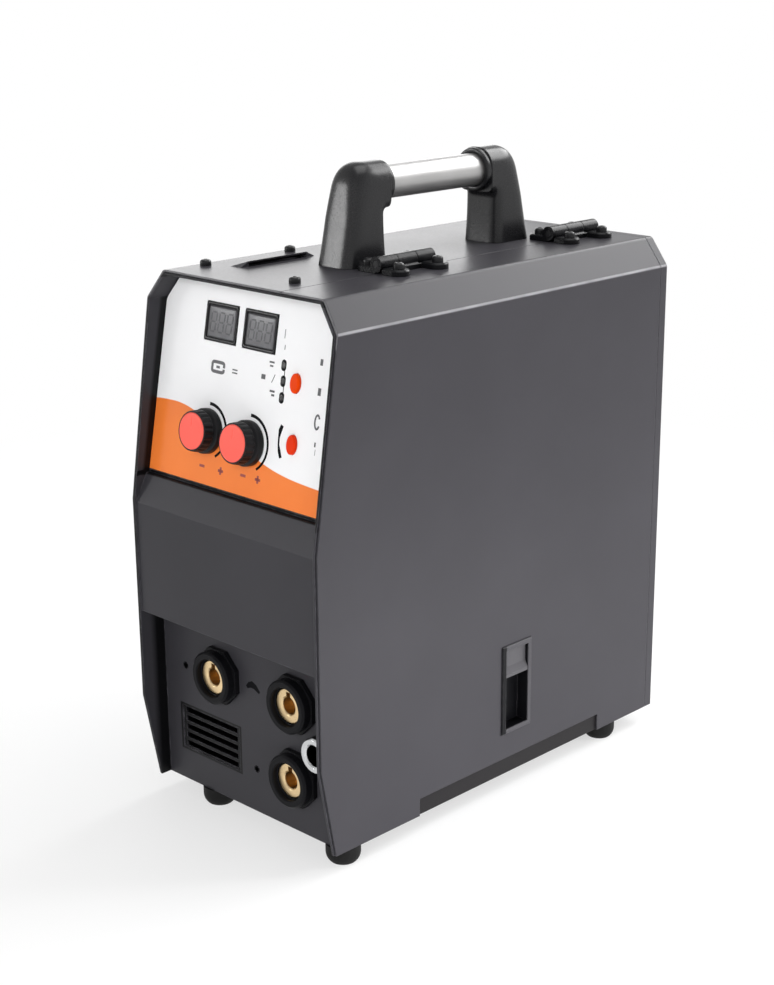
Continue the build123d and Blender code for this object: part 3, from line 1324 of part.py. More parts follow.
def pressure_arm():
    """Pressure arm: pivot eye, roll axle and a forked end for the tension rod."""
    y0, z0 = ARM_PIVOT
    y1, z1 = ARM_END
    half = ARM_HALF_HEIGHT
    beam = [
        (y0, z0 - half),
        (FEED_DEPTH - half, ROLL_HIGH - half),
        (FEED_DEPTH + half, ROLL_HIGH - half),
        (y1, z1 - half),
        (y1, z1 + half),
        (FEED_DEPTH, z0 + half),
        (y0, z0 + half),
    ]
    arm = slab_x(beam, ARM_LEFT, ARM_RIGHT) + rod_x(ARM_LEFT, ARM_RIGHT, y0, z0, ARM_BOSS_RADIUS)
    arm += rod_x(ARM_LEFT, ARM_RIGHT, FEED_DEPTH, ROLL_HIGH, ARM_BOSS_RADIUS)
    head = ROLL_RIGHT + END_PLAY
    arm += rod_x(ARM_RIGHT, head + AXLE_COLLAR, FEED_DEPTH, ROLL_HIGH, AXLE_RADIUS)
    arm += rod_x(head, head + AXLE_COLLAR, FEED_DEPTH, ROLL_HIGH, AXLE_RADIUS + AXLE_COLLAR)
    arm += rod_x(ARM_RIGHT, ROLL_LEFT - END_PLAY, FEED_DEPTH, ROLL_HIGH, AXLE_RADIUS + AXLE_COLLAR)
    arm -= rod_x(ARM_LEFT - WALL, ARM_RIGHT + WALL, y0, z0, ARM_PIN_RADIUS + RUNNING_FIT)
    slot = TENSION_ROD_RADIUS + TENSION_SLOT_GAP
    start = TENSION_PIVOT[0] - 2 * slot
    return arm - block(ARM_MIDDLE - slot, ARM_MIDDLE + slot, start, y1 + WALL, z1 - 2 * half, z1 + 4 * half)


def tension_swing(piece):
    """Swing an upright piece of the tensioner back to its released place."""
    return piece.rotate(Axis((ARM_MIDDLE, *TENSION_PIVOT), (1, 0, 0)), -TENSION_REST)


def tension_heights():
    """Heights of the washer under the knob, the knob and its head."""
    seat = ARM_END[1] + ARM_HALF_HEIGHT + TENSION_CLEAR
    return seat, seat + TENSION_WASHER, seat + TENSION_WASHER + TENSION_KNOB


def tension_rod():
    """Swinging tension rod with its eye and a washer."""
    y, z = TENSION_PIVOT
    seat, foot, head = tension_heights()
    rod = rod_z(ARM_MIDDLE, y, z, head - TENSION_CROWN, TENSION_ROD_RADIUS)
    rod += rod_x(ARM_MIDDLE - TENSION_EYE, ARM_MIDDLE + TENSION_EYE, y, z, 2 * TENSION_PIN_RADIUS)
    rod += rod_z(ARM_MIDDLE, y, seat, foot, 3 * TENSION_ROD_RADIUS)
    rod -= rod_x(ARM_LEFT, ARM_RIGHT, y, z, TENSION_PIN_RADIUS + RUNNING_FIT)
    return tension_swing(rod)


def tension_knob():
    """Tension knob on the rod, a ribbed sleeve that hides its spring."""
    y = TENSION_PIVOT[0]
    seat, foot, head = tension_heights()
    body = rod_z(ARM_MIDDLE, y, foot + TENSION_PLAY, head, TENSION_KNOB_RADIUS)
    body = chamfer(body.edges().sort_by(Axis.Z)[-1], TENSION_CROWN / 2)
    for rib in range(TENSION_KNOB_RIBS):
        turn = math.radians(360 / TENSION_KNOB_RIBS * rib)
        x = ARM_MIDDLE + TENSION_KNOB_RADIUS * math.cos(turn)
        depth = y + TENSION_KNOB_RADIUS * math.sin(turn)
        body -= rod_z(x, depth, foot + TENSION_SKIRT, head + WALL, TENSION_RIB_RADIUS)
    bore = TENSION_ROD_RADIUS + RUNNING_FIT
    body -= rod_z(ARM_MIDDLE, y, foot, head - TENSION_CROWN + TENSION_PLAY, bore)
    return tension_swing(body)


def inlet_guide():
    """Brass tube that leads the wire to the rolls."""
    start, end = GUIDE_DEPTH
    outline = [
        (GUIDE_BORE_RADIUS, start),
        (GUIDE_NOSE_RADIUS, start),
        (GUIDE_RADIUS, start + GUIDE_TAPER),
        (GUIDE_RADIUS, end),
        (GUIDE_NOSE_RADIUS, end + GUIDE_TAPER),
        (GUIDE_MOUTH_RADIUS, end + GUIDE_TAPER),
        (GUIDE_BORE_RADIUS, end),
    ]
    return turned_y(outline, TORCH_X, TORCH_HEIGHT)


def hub_span():
    """Ends of the spool hub along its axle."""
    start = DIVIDER_FACE + HUB_STANDOFF
    return start, start + HUB_LENGTH


def spool_spindle():
    """Fixed axle of the spool hub, bolted to the divider."""
    y, z = HUB_PLACE
    start, end = hub_span()
    spindle = rod_x(DIVIDER_FACE, start - END_PLAY, y, z, SPINDLE_FLANGE_RADIUS)
    return spindle + rod_x(start - END_PLAY, end + END_PLAY + HUB_NUT - HUB_NUT_WALL, y, z, AXLE_STUB_RADIUS)


def spool_hub():
    """Turning hub with a flange, ribs and the drive peg of the spool."""
    y, z = HUB_PLACE
    start, end = hub_span()
    flange = start + HUB_FLANGE
    hub = rod_x(start, end, y, z, HUB_RADIUS) - rod_x(flange, end + WALL, y, z, HUB_RADIUS - HUB_WALL)
    hub += rod_x(start, flange, y, z, HUB_FLANGE_RADIUS)
    hub += rod_x(start, end, y, z, AXLE_STUB_RADIUS + HUB_WALL)
    reach = HUB_RADIUS - HUB_WALL / 2
    for rib in range(HUB_RIBS):
        web = Pos(0, 0, reach / 2) * Box(end - start, HUB_RIB, reach)
        hub += Pos((start + end) / 2, y, z) * Rot(360 / HUB_RIBS * rib, 0, 0) * web
    hub += rod_x(flange, flange + HUB_PEG, y, z + HUB_RADIUS + HUB_FLANGE, HUB_WALL)
    return hub - rod_x(start - WALL, end + WALL, y, z, AXLE_STUB_RADIUS + RUNNING_FIT)


def spool_nut():
    """Lobed nut that keeps the spool on its hub."""
    y, z = HUB_PLACE
    foot = hub_span()[1] + END_PLAY
    head = foot + HUB_NUT
    nut = rod_x(foot, head, y, z, HUB_NUT_RADIUS)
    reach = HUB_NUT_RADIUS + HUB_NUT_WALL
    for lobe in range(HUB_NUT_LOBES):
        turn = math.radians(360 / HUB_NUT_LOBES * lobe)
        dent_y, dent_z = y + reach * math.cos(turn), z + reach * math.sin(turn)
        nut -= rod_x(foot - WALL, head + WALL, dent_y, dent_z, HUB_NUT_DENT)
    return nut - rod_x(foot - WALL, head - HUB_NUT_WALL, y, z, AXLE_STUB_RADIUS + RUNNING_FIT)


def heat_sinks():
    """Two finned heat sinks in the air path, on the base pan."""
    wide, long, tall = SINK_SIZE
    left = SINK_MIDDLE_X - wide / 2
    sinks = []
    for front in SINK_FRONTS:
        sink = block(left, left + wide, front, front + long, SHEET + tall - SINK_BASE, SHEET + tall)
        for fin in range(SINK_FINS):
            x = left + fin * (wide - SINK_FIN) / (SINK_FINS - 1)
            sink += block(x, x + SINK_FIN, front, front + long, SHEET, SHEET + tall - SINK_BASE)
        sinks.append(sink)
    return sinks


def main_board():
    """Main board on spacers over the heat sinks, with its capacitors."""
    wide, long, tall = SINK_SIZE
    front, rear = SINK_FRONTS[0], SINK_FRONTS[-1] + long
    foot = SHEET + tall
    face = foot + MAIN_BOARD_RISE
    x0, x1 = SINK_MIDDLE_X - wide / 2, SINK_MIDDLE_X + wide / 2
    board = block(x0, x1, front, rear, face, face + BOARD)
    for x in (x0 + SPACER_INSET, x1 - SPACER_INSET):
        for y in (front + SPACER_INSET, rear - SPACER_INSET):
            board += rod_z(x, y, foot, face, SPINDLE_RADIUS)
    radius, height = CAPACITOR
    for column in range(CAPACITOR_COLUMNS):
        y = front + CAPACITOR_START + column * CAPACITOR_PITCH
        for side in (-1, 1):
            x = SINK_MIDDLE_X + side * CAPACITOR_PITCH / 2
            board += rod_z(x, y, face + BOARD, face + BOARD + height, radius)
    return board


def transformer():
    """Ferrite transformer: core with windows filled by its winding."""
    wide, long, tall = TRANSFORMER_SIZE
    x, y = TRANSFORMER_RIGHT - wide / 2, TRANSFORMER_DEPTH
    core = block(x - wide / 3, x + wide / 3, y - long / 2, y + long / 2, SHEET, SHEET + tall)
    winding = RectangleRounded(wide, long - 2 * TRANSFORMER_YOKE, TRANSFORMER_CORNER)
    return core + Pos(x, y, SHEET + TRANSFORMER_YOKE) * extrude(winding, amount=tall - 2 * TRANSFORMER_YOKE)


def all_parts():
    """Every piece of the welder by name."""
    front, rear = POST_OUTER_DEPTHS
    parts = {
        "base_pan": base_pan(),
        "cover_shell": cover_shell(),
        "feed_door": feed_door(),
        "front_panel": front_panel(),
        "rear_panel": rear_panel(),
        "divider_plate": divider_plate(),
        "control_overlay": control_overlay(),
        "display_windows": display_windows(),
        "indicator_lights": indicator_lights(),
        "control_board": control_board(),
        "torch_outlet": torch_outlet(),
        "handle_front_post": handle_post(front, 1),
        "handle_rear_post": handle_post(rear, -1),
        "handle_tube": handle_tube(),
        "handle_bolts": handle_bolts(),
        "hinge_pins": hinge_pins(),
        "cover_screws": cover_screws(),
        "door_screws": door_screws(),
        "latch_frame": latch_frame(),
        "latch_slide": latch_slide(),
        "rubber_feet": rubber_feet(),
        "fan_frame": fan_frame(),
        "fan_rotor": fan_rotor(),
        "mains_switch": mains_switch(),
        "mains_rocker": mains_rocker(),
        "cable_gland": cable_gland(),
        "gas_inlet": gas_inlet(),
        "gas_valve": gas_valve(),
        "feeder_plate": feeder_plate(),
        "gear_motor": gear_motor(),
        "drive_shaft": drive_shaft(),
        "drive_roll": roll(ROLL_LOW, ROLL_BORE_RADIUS + RUNNING_FIT),
        "pressure_roll": roll(ROLL_HIGH, AXLE_RADIUS + RUNNING_FIT),
        "pressure_arm": pressure_arm(),
        "tension_rod": tension_rod(),
        "tension_knob": tension_knob(),
        "inlet_guide": inlet_guide(),
        "spool_spindle": spool_spindle(),
        "spool_hub": spool_hub(),
        "spool_nut": spool_nut(),
        "heat_sinks": heat_sinks(),
        "main_board": main_board(),
        "transformer": transformer(),
    }
    for name, place in KNOB_PLACES.items():
        parts[f"knob_{name}"] = knob(place)
        parts[f"knob_cap_{name}"] = knob_cap(place)
    for name, place in BUTTON_PLACES.items():
        parts[f"{name}_button"] = button(place)
    for name, place in SOCKET_PLACES.items():
        parts[f"socket_{name}"] = socket_body(place)
        parts[f"contact_{name}"] = contact(place)
    for name, middle in HINGE_DEPTHS.items():
        parts[f"hinge_{name}_fixed_leaf"] = hinge_leaf(middle, -1)
        parts[f"hinge_{name}_door_leaf"] = hinge_leaf(middle, 1)
    return parts


def main():
    """Write each piece, with the floor under the feet at z = 0 and the part centred on the origin."""
    os.makedirs("parts", exist_ok=True)
    stand = Pos(0, -(CASE_LENGTH + REAR_REACH) / 2, FOOT_HEIGHT)
    for name, shape in all_parts().items():
        solids = shape if isinstance(shape, list) else [shape]
        solids = [solid for piece in solids for solid in (stand * piece).solids()]
        piece = solids[0] if len(solids) == 1 else Compound(solids)
        export_step(piece, f"parts/{name}.step")


main()
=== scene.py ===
# %% [markdown]
# # Dressing a portable MIG welder
#
# The solids of the welder come from a CAD model that is loaded as a fixed frame. This lesson gives every
# solid its finish, adds the moulded pieces that plain solids cannot show, and sets up a small photo studio.
# The scene is in metres, and a size that is written in millimetres is multiplied by MM. +Z is up, -Y is the front
# with the console, and +X is the side with the door.

# %% Load the frame
import json
import math
import bmesh
import bpy
import numpy as np
from mathutils import Matrix, Vector


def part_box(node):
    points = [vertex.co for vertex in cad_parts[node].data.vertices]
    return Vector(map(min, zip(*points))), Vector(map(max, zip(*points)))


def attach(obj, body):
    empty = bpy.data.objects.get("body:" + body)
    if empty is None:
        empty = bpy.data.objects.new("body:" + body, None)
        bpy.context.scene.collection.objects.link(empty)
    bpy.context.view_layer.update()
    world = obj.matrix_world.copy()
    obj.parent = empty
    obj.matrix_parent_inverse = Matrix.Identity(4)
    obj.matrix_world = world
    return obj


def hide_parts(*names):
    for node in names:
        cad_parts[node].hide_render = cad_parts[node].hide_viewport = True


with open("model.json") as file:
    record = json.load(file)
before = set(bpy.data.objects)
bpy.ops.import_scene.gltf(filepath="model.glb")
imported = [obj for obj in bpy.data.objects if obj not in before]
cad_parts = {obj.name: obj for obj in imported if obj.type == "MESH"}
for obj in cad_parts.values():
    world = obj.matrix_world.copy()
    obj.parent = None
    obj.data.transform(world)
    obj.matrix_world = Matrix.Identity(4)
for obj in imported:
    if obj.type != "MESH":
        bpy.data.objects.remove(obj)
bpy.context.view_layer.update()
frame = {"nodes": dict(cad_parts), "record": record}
MM = 0.001

# %% [markdown]
# ## Camera
#
# The picture was taken from the front right, a little above the console, with a longish lens. The camera could
# be pushed around by hand, but a place worked out from the corners of the casing is quicker to trust: an eye, a
# point that it looks at, a lens and a small shift of the frame.

# %% Camera at the angle of the picture
EYE = Vector((0.93976, -0.98414, 0.63872))
AIM = Vector((0.0, -0.012, 0.21275))
ROLL = math.radians(-0.26)
LENS, SENSOR = 66.04, 36.0
SHIFT = (-0.0216, 0.0148)


def looking(place, aim):
    """Matrix of an object at place whose -Z axis looks at aim, with its Y axis up."""
    turn = (aim - place).to_track_quat("-Z", "Y").to_matrix().to_4x4()
    return Matrix.Translation(place) @ turn


lens = bpy.data.cameras.new("studio_camera")
lens.sensor_fit = "VERTICAL"
lens.sensor_height = SENSOR
lens.lens = LENS
lens.shift_x, lens.shift_y = SHIFT
camera = bpy.data.objects.new("studio_camera", lens)
bpy.context.collection.objects.link(camera)
camera.matrix_world = looking(EYE, AIM) @ Matrix.Rotation(ROLL, 4, "Z")
bpy.context.scene.camera = camera
print("camera distance: %.2f m" % (AIM - EYE).length)

# %% [markdown]
# ## Small helpers for shader nodes
#
# A finish is a little graph of nodes. Written out link by link it is long, so helpers keep it short: one adds a
# node and fills its sockets, and the others name what a node does, such as mixing two colours, carrying a range
# of values to 0 to 1, or making noise.

# %% Node helpers
MIX_FIRST, MIX_SECOND, MIX_COLOUR = 6, 7, 2


def feed(tree, socket, value):
    """Link a socket to another one, or set it to a plain value."""
    if isinstance(value, bpy.types.NodeSocket):
        tree.links.new(value, socket)
    else:
        socket.default_value = value


def add(tree, kind, sockets=None, **settings):
    """Add a shader node, set its settings, and link or set each named socket."""
    node = tree.nodes.new("ShaderNode" + kind)
    for key, value in settings.items():
        setattr(node, key, value)
    for key, value in (sockets or {}).items():
        feed(tree, node.inputs[key], value)
    return node


def mix(tree, share, first, second):
    """Colour that goes from first to second as share goes from 0 to 1."""
    node = add(tree, "Mix", {0: share}, data_type="RGBA")
    for index, value in ((MIX_FIRST, first), (MIX_SECOND, second)):
        linked = isinstance(value, bpy.types.NodeSocket)
        feed(tree, node.inputs[index], value if linked else (*value, 1.0))
    return node.outputs[MIX_COLOUR]


def span(tree, value, low, high, start=0.0, end=1.0):
    """Value carried from the range low..high to start..end, held at both ends."""
    sockets = {"Value": value, "From Min": low, "From Max": high, "To Min": start, "To Max": end}
    return add(tree, "MapRange", sockets, clamp=True).outputs["Result"]


def calc(tree, operation, first, second=0.0):
    """One sum on two values."""
    return add(tree, "Math", {0: first, 1: second}, operation=operation).outputs["Value"]


def vector(tree, operation, first, second, result):
    """One sum on two vectors, whose result is a Value or a Vector."""
    return add(tree, "VectorMath", {0: first, 1: second}, operation=operation).outputs[result]


def both(tree, first, second):
    """1 where two shares are both 1: their product."""
    return calc(tree, "MULTIPLY", first, second)


def either(tree, first, second):
    """1 where one of two shares is 1: the greater of them."""
    return calc(tree, "MAXIMUM", first, second)


def axes(tree, place):
    """X, Y and Z of a vector."""
    return add(tree, "SeparateXYZ", {0: place}).outputs


def blank(name):
    """New material with its node tree, its shader and its Object coordinates."""
    material = bpy.data.materials.new(name)
    material.use_nodes = True
    tree = material.node_tree
    shader = tree.nodes["Principled BSDF"]
    return material, tree, shader, add(tree, "TexCoord").outputs["Object"]


def noise(tree, place, scale, detail=3.0, stretch=None):
    """Noise of about 1 / scale metres, stretched along the axes if asked."""
    if stretch:
        place = add(tree, "Mapping", {"Vector": place, "Scale": stretch}).outputs["Vector"]
    return add(tree, "TexNoise", {"Vector": place, "Scale": scale, "Detail": detail}).outputs["Fac"]


print("node helpers ready")

# %% [markdown]
# ## One recipe for paint, mouldings and metal
#
# Sheet steel is powder coated, mouldings have a fine spark-eroded grain, and bare metal is brushed or cast. The
# three differ mostly in numbers, so one recipe serves: soft patches change the colour, a fine grain makes bump
# and breaks up the gloss, and a Bevel node rounds the edges that a solid leaves sharp and makes them paler,
# partly as rub wear and partly as a painted highlight.

# %% The recipe
NOISE = (0.3, 0.7)
EDGE_BEND = (0.985, 0.80)
RUB_HIGHLIGHT_PATCH, RUB_HIGHLIGHT_NOISE, RUB_HIGHLIGHT_SHARE = 160.0, (0.35, 0.65), (0.1, 0.8)
GRAIN_AND_PATCH = (0.6, 1.4)
PATCH_DETAIL, GRAIN_DETAIL = 4.0, 2.0


def finish(name, colour, rough, metal=0.0, vary=0.10, patch=14.0, grain=1500.0, depth=0.03, soft=0.8,
           rub_highlight=1.4, uneven=0.06, stretch=None, gloss=0.5, trim=None):
    """Finish whose colour varies by patches, with grain (1/m, depth in mm), soft edges (mm) and paler edges: rub wear
    and painted highlight.

    trim is a share and a colour: the share is a function of the tree and the place, 1 where that colour lies.
    """
    material, tree, shader, place = blank(name)
    patches = noise(tree, place, patch, PATCH_DETAIL)
    fine = noise(tree, place, grain, GRAIN_DETAIL, stretch)
    dark = [part * (1.0 - vary) for part in colour]
    light = [min(1.0, part * (1.0 + vary)) for part in colour]
    body = mix(tree, span(tree, patches, *NOISE), dark, light)
    if trim:
        share, trim_colour = trim
        body = mix(tree, share(tree, place), body, trim_colour)
    corner = add(tree, "Bevel", {"Radius": soft * MM}, samples=4).outputs["Normal"]
    flat = add(tree, "NewGeometry").outputs["Normal"]
    edge = span(tree, vector(tree, "DOT_PRODUCT", corner, flat, "Value"), *EDGE_BEND)
    # Paler edges: partly rub wear, partly a painted highlight that stands for light caught on the edge.
    wear_and_highlight = both(tree, edge, span(tree, noise(tree, place, RUB_HIGHLIGHT_PATCH), *RUB_HIGHLIGHT_NOISE, *RUB_HIGHLIGHT_SHARE))
    worn_and_highlit = [min(1.0, part * rub_highlight) for part in colour]
    tree.links.new(mix(tree, wear_and_highlight, body, worn_and_highlit), shader.inputs["Base Color"])
    spread = span(tree, calc(tree, "ADD", fine, patches), *GRAIN_AND_PATCH, rough - uneven, rough + uneven)
    tree.links.new(spread, shader.inputs["Roughness"])
    shader.inputs["Metallic"].default_value = metal
    shader.inputs["Specular IOR Level"].default_value = gloss
    bump = add(tree, "Bump", {"Height": fine, "Strength": 1.0, "Distance": depth * MM, "Normal": corner})
    tree.links.new(bump.outputs["Normal"], shader.inputs["Normal"])
    return material


print("recipe ready")

# %% [markdown]
# ## Places with a second colour, painted shade and a painted highlight
#
# Some solids carry a second colour: the front moulding has a black rim, and black painted shade in its groove,
# its vent and the insides of its wings; the bend between side and shoulder of the casing has a pale painted
# highlight, and the torch outlet is painted dark inside as shade. Such places could be cut out as pieces, but they
# lie on one surface, so a share that is worked out from the place of a point, 0 or 1 with a soft edge, marks them.

# %% Steps and the front moulding's black rim and painted shade
LEAN = math.radians(10.7)
CONSOLE_FOOT = np.array([0.0, -188.6, 263.0]) * MM
OUT = np.array([0.0, -math.cos(LEAN), math.sin(LEAN)])
SOFT = 0.2
# Edges: the place of each, and the width over which it is soft, in mm.
CONSOLE_LINE, LEFT_HALF, WING_INSIDE = (259.0, 1.0), (0.0, -20.0), (95.9, 0.4)
WING_SHADE_DEPTH, BROW_FOOT, PANEL_SHADE = (6.5, -3.0), (195.0, -10.0), (-193.0, 6.0)
RIM_UNDERSIDE, VENT_FLOOR = (406.75, 0.5), (-183.75, 0.5)
# Ranges: from low to high, in mm, and the normal's Y on faces that look ahead.
GROOVE, VENT_X, VENT_Z = (259.6, 263.2), (-80.5, -9.5), (39.0, 78.0)
FRONT_FACING = (-0.4, -0.6)


def past(tree, value, edge, soft=SOFT):
    """0 before an edge and 1 past it, over a soft width, in mm; a width below 0 turns the two round."""
    return span(tree, value, (edge - soft / 2) * MM, (edge + soft / 2) * MM)


def within(tree, value, low, high):
    """1 where a value lies between low and high, in mm."""
    return both(tree, past(tree, value, low), past(tree, value, high, -SOFT))


def rim_and_recess_shade_share(tree, place):
    """1 on the black rim of the front (wing edges that look ahead and the rim's underside) and on painted shade: wing
    insides near console and panel, groove and vent.
    """
    spot = axes(tree, place)
    x, y, z = spot["X"], spot["Y"], spot["Z"]
    inside = vector(tree, "SUBTRACT", place, tuple(CONSOLE_FOOT), "Vector")
    proud = vector(tree, "DOT_PRODUCT", inside, tuple(OUT), "Value")
    ahead = axes(tree, add(tree, "NewGeometry").outputs["Normal"])["Y"]
    console = past(tree, z, *CONSOLE_LINE)
    wings = past(tree, calc(tree, "ABSOLUTE", x), *WING_INSIDE)
    wings = both(tree, wings, either(tree, console, past(tree, x, *LEFT_HALF)))
    # Painted shade: the wing insides beside the console, and on the left beside the socket panel, are black where
    # shade falls.
    console_wing_shade = both(tree, console, past(tree, proud, *WING_SHADE_DEPTH))
    panel_wing_shade = both(tree, past(tree, z, *BROW_FOOT), past(tree, y, *PANEL_SHADE))
    recess_shade = either(tree, console_wing_shade, panel_wing_shade)
    rim_and_shade = both(tree, wings, either(tree, recess_shade, span(tree, ahead, *FRONT_FACING)))
    rim_and_shade = either(tree, rim_and_shade, past(tree, z, *RIM_UNDERSIDE))
    # Painted shade: the vent's floor and louvres behind the panel face are black as the shade inside it.
    vent_shade = both(tree, within(tree, x, *VENT_X), within(tree, z, *VENT_Z))
    vent_shade = both(tree, vent_shade, past(tree, y, *VENT_FLOOR))
    # The groove band along the foot of the film is a painted shadow.
    return either(tree, rim_and_shade, either(tree, within(tree, z, *GROOVE), vent_shade))


print("front moulding marked")

# %% [markdown]
# ## Painted bend highlight, outlet, latch and seam shade
#
# The bend between side and shoulder of the casing is painted pale, as a highlight. A normal tells where
# that is: its Z goes from 0 on the side to 0.6 on the shoulder. The other three need only a depth or a height; the
# outlet, the latch's recess and the seam are painted shade.

# %% Shares of the smaller solids
BEND_STARTS, BEND_ENDS, BEND_FOOT = (0.06, 0.24), (0.59, 0.48), (381.0, 2.0)
# These patches break up the painted highlight on the bend.
BEND_HIGHLIGHT_PATCH, BEND_HIGHLIGHT_SHARE = 45.0, (0.65, 1.0)
low, high = (np.array(corner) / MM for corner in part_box("latch_frame"))
LATCH_EDGE, LATCH_FACE = (low[1] + 4.4, -SOFT), (high[0] - 0.9, -SOFT)
OUTLET_BORE = (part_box("torch_outlet")[0][1] / MM + 1.65, 0.3)
SEAM_SHADE_FOOT = (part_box("divider_plate")[1][2] / MM - 0.45, 0.1)


def bend_highlight_share(tree, place):
    """1 on the bend between side and shoulder of the casing, where a highlight is painted, in soft patches: the
    normal's Z is from 0 to 0.6.
    """
    rise = axes(tree, add(tree, "NewGeometry").outputs["Normal"])["Z"]
    bend = both(tree, span(tree, rise, *BEND_STARTS), span(tree, rise, *BEND_ENDS))
    bend = both(tree, bend, past(tree, axes(tree, place)["Z"], *BEND_FOOT))
    return both(tree, bend, span(tree, noise(tree, place, BEND_HIGHLIGHT_PATCH), *NOISE, *BEND_HIGHLIGHT_SHARE))


def bore_shade_share(tree, place):
    """1 inside the torch outlet, where shade is painted: all that lies well behind its front edge."""
    return past(tree, axes(tree, place)["Y"], *OUTLET_BORE)


def latch_edge_and_shade_share(tree, place):
    """1 on the dark parts of the latch frame: its front edge, and all that lies deeper than its face, where shade is
    painted.
    """
    spot = axes(tree, place)
    return either(tree, past(tree, spot["Y"], *LATCH_EDGE), past(tree, spot["X"], *LATCH_FACE))


def seam_shade_share(tree, place):
    """1 on the divider's top edge under the seam of the casing, painted dark as the shade in the gap."""
    return past(tree, axes(tree, place)["Z"], *SEAM_SHADE_FOOT)


print("latch face at %.1f mm, seal at %.1f mm" % (LATCH_FACE[0], SEAM_SHADE_FOOT[0]))

# %% [markdown]
# ## Finishes of the shell
#
# The casing is grey powder coat with an orange-peel grain, the front is a graphite moulding, and hinges, handle,
# sockets and feet are black. Black is never quite black: each differs in gloss, grain and how pale its edges are
# made, by rub wear and by a painted highlight.

# %% Paint, mouldings and fittings
# Trim colours: a pale painted highlight on the casing's bend; the front's black rim, also used as painted shade;
# painted shade inside the torch outlet; the latch's dark front edge and painted shade in its recess.
BEND_HIGHLIGHT_COAT, RIM_AND_SHADE_BLACK = (0.30, 0.295, 0.31), (0.0025, 0.0025, 0.003)
BORE_SHADE_BLACK, LATCH_EDGE_AND_SHADE_BLACK = (0.02, 0.02, 0.02), (0.004, 0.004, 0.005)
finishes = {
    "casing_paint": finish(
        "grey_powder_coat", (0.036, 0.0345, 0.040), 0.34, vary=0.06, grain=620.0, depth=0.025, soft=1.0,
        rub_highlight=1.8, uneven=0.03, gloss=0.20, trim=(bend_highlight_share, BEND_HIGHLIGHT_COAT)),
    "pan_paint": finish("black_pan_coat", (0.012, 0.011, 0.012), 0.50, grain=700.0, depth=0.03, gloss=0.20),
    "front_plastic": finish(
        "graphite_moulding", (0.034, 0.033, 0.038), 0.42, vary=0.08, grain=1700.0, depth=0.04, soft=1.2,
        rub_highlight=3.4, gloss=0.16, trim=(rim_and_recess_shade_share, RIM_AND_SHADE_BLACK)),
    "window": finish("window_frame_print", (0.006, 0.006, 0.007), 0.20, grain=900.0, depth=0.002, gloss=0.15),
    "light_pipe": finish("smoked_light_pipe", (0.012, 0.010, 0.010), 0.18, grain=900.0, depth=0.004),
    "socket_plastic": finish(
        "black_socket_moulding", (0.005, 0.005, 0.006), 0.34, grain=1500.0, depth=0.02, soft=0.8, rub_highlight=2.2,
        gloss=0.08),
    "contact_brass": finish(
        "turned_brass", (0.80, 0.60, 0.34), 0.30, metal=1.0, vary=0.12, patch=120.0, grain=2200.0, depth=0.01),
    "outlet_plate": finish(
        "bright_nickel", (0.66, 0.67, 0.68), 0.20, metal=1.0, grain=1600.0, depth=0.008,
        trim=(bore_shade_share, BORE_SHADE_BLACK)),
    "handle_plastic": finish(
        "black_handle_moulding", (0.010, 0.010, 0.011), 0.27, grain=1900.0, depth=0.012, rub_highlight=1.8, gloss=0.35),
    "fastener_steel": finish(
        "black_oxide_screws", (0.010, 0.010, 0.011), 0.32, grain=1600.0, depth=0.01, soft=0.5, rub_highlight=3.0, gloss=0.30),
    "hinge_black": finish(
        "black_hinge_gloss", (0.006, 0.006, 0.007), 0.28, grain=900.0, depth=0.02, soft=0.9, rub_highlight=2.0, gloss=0.16),
    "latch_black": finish(
        "grey_latch_frame", (0.060, 0.058, 0.064), 0.40, grain=1700.0, depth=0.03, gloss=0.14,
        trim=(latch_edge_and_shade_share, LATCH_EDGE_AND_SHADE_BLACK)),
    "latch_grey": finish(
        "grey_latch_moulding", (0.070, 0.068, 0.074), 0.42, grain=1700.0, depth=0.03, gloss=0.20),
    "foot_rubber": finish(
        "black_rubber", (0.008, 0.008, 0.008), 0.62, grain=1200.0, depth=0.05, soft=0.8, rub_highlight=1.6, gloss=0.15),
    "knob_black": finish(
        "black_knob_moulding", (0.006, 0.006, 0.007), 0.36, grain=1900.0, depth=0.02, soft=0.5, rub_highlight=2.0, gloss=0.25),
    "knob_cap_red": finish(
        "salmon_cap_moulding", (0.92, 0.130, 0.100), 0.34, vary=0.03, grain=1600.0, depth=0.008, soft=0.5,
        rub_highlight=1.0, gloss=0.12),
    "button_orange": finish(
        "orange_key_moulding", (0.82, 0.056, 0.001), 0.36, vary=0.05, grain=1600.0, depth=0.01, soft=0.6,
        rub_highlight=1.0, gloss=0.05),
}
print("shell finishes:", len(finishes))

# %% [markdown]
# ## Finishes of what lies inside and behind
#
# Behind the door and at the rear are zinc-plated sheet, cast and extruded aluminium, a steel motor can and black
# nylon. Metals use the same recipe with the metal share at 1, and a stretched grain where they were drawn or rolled.

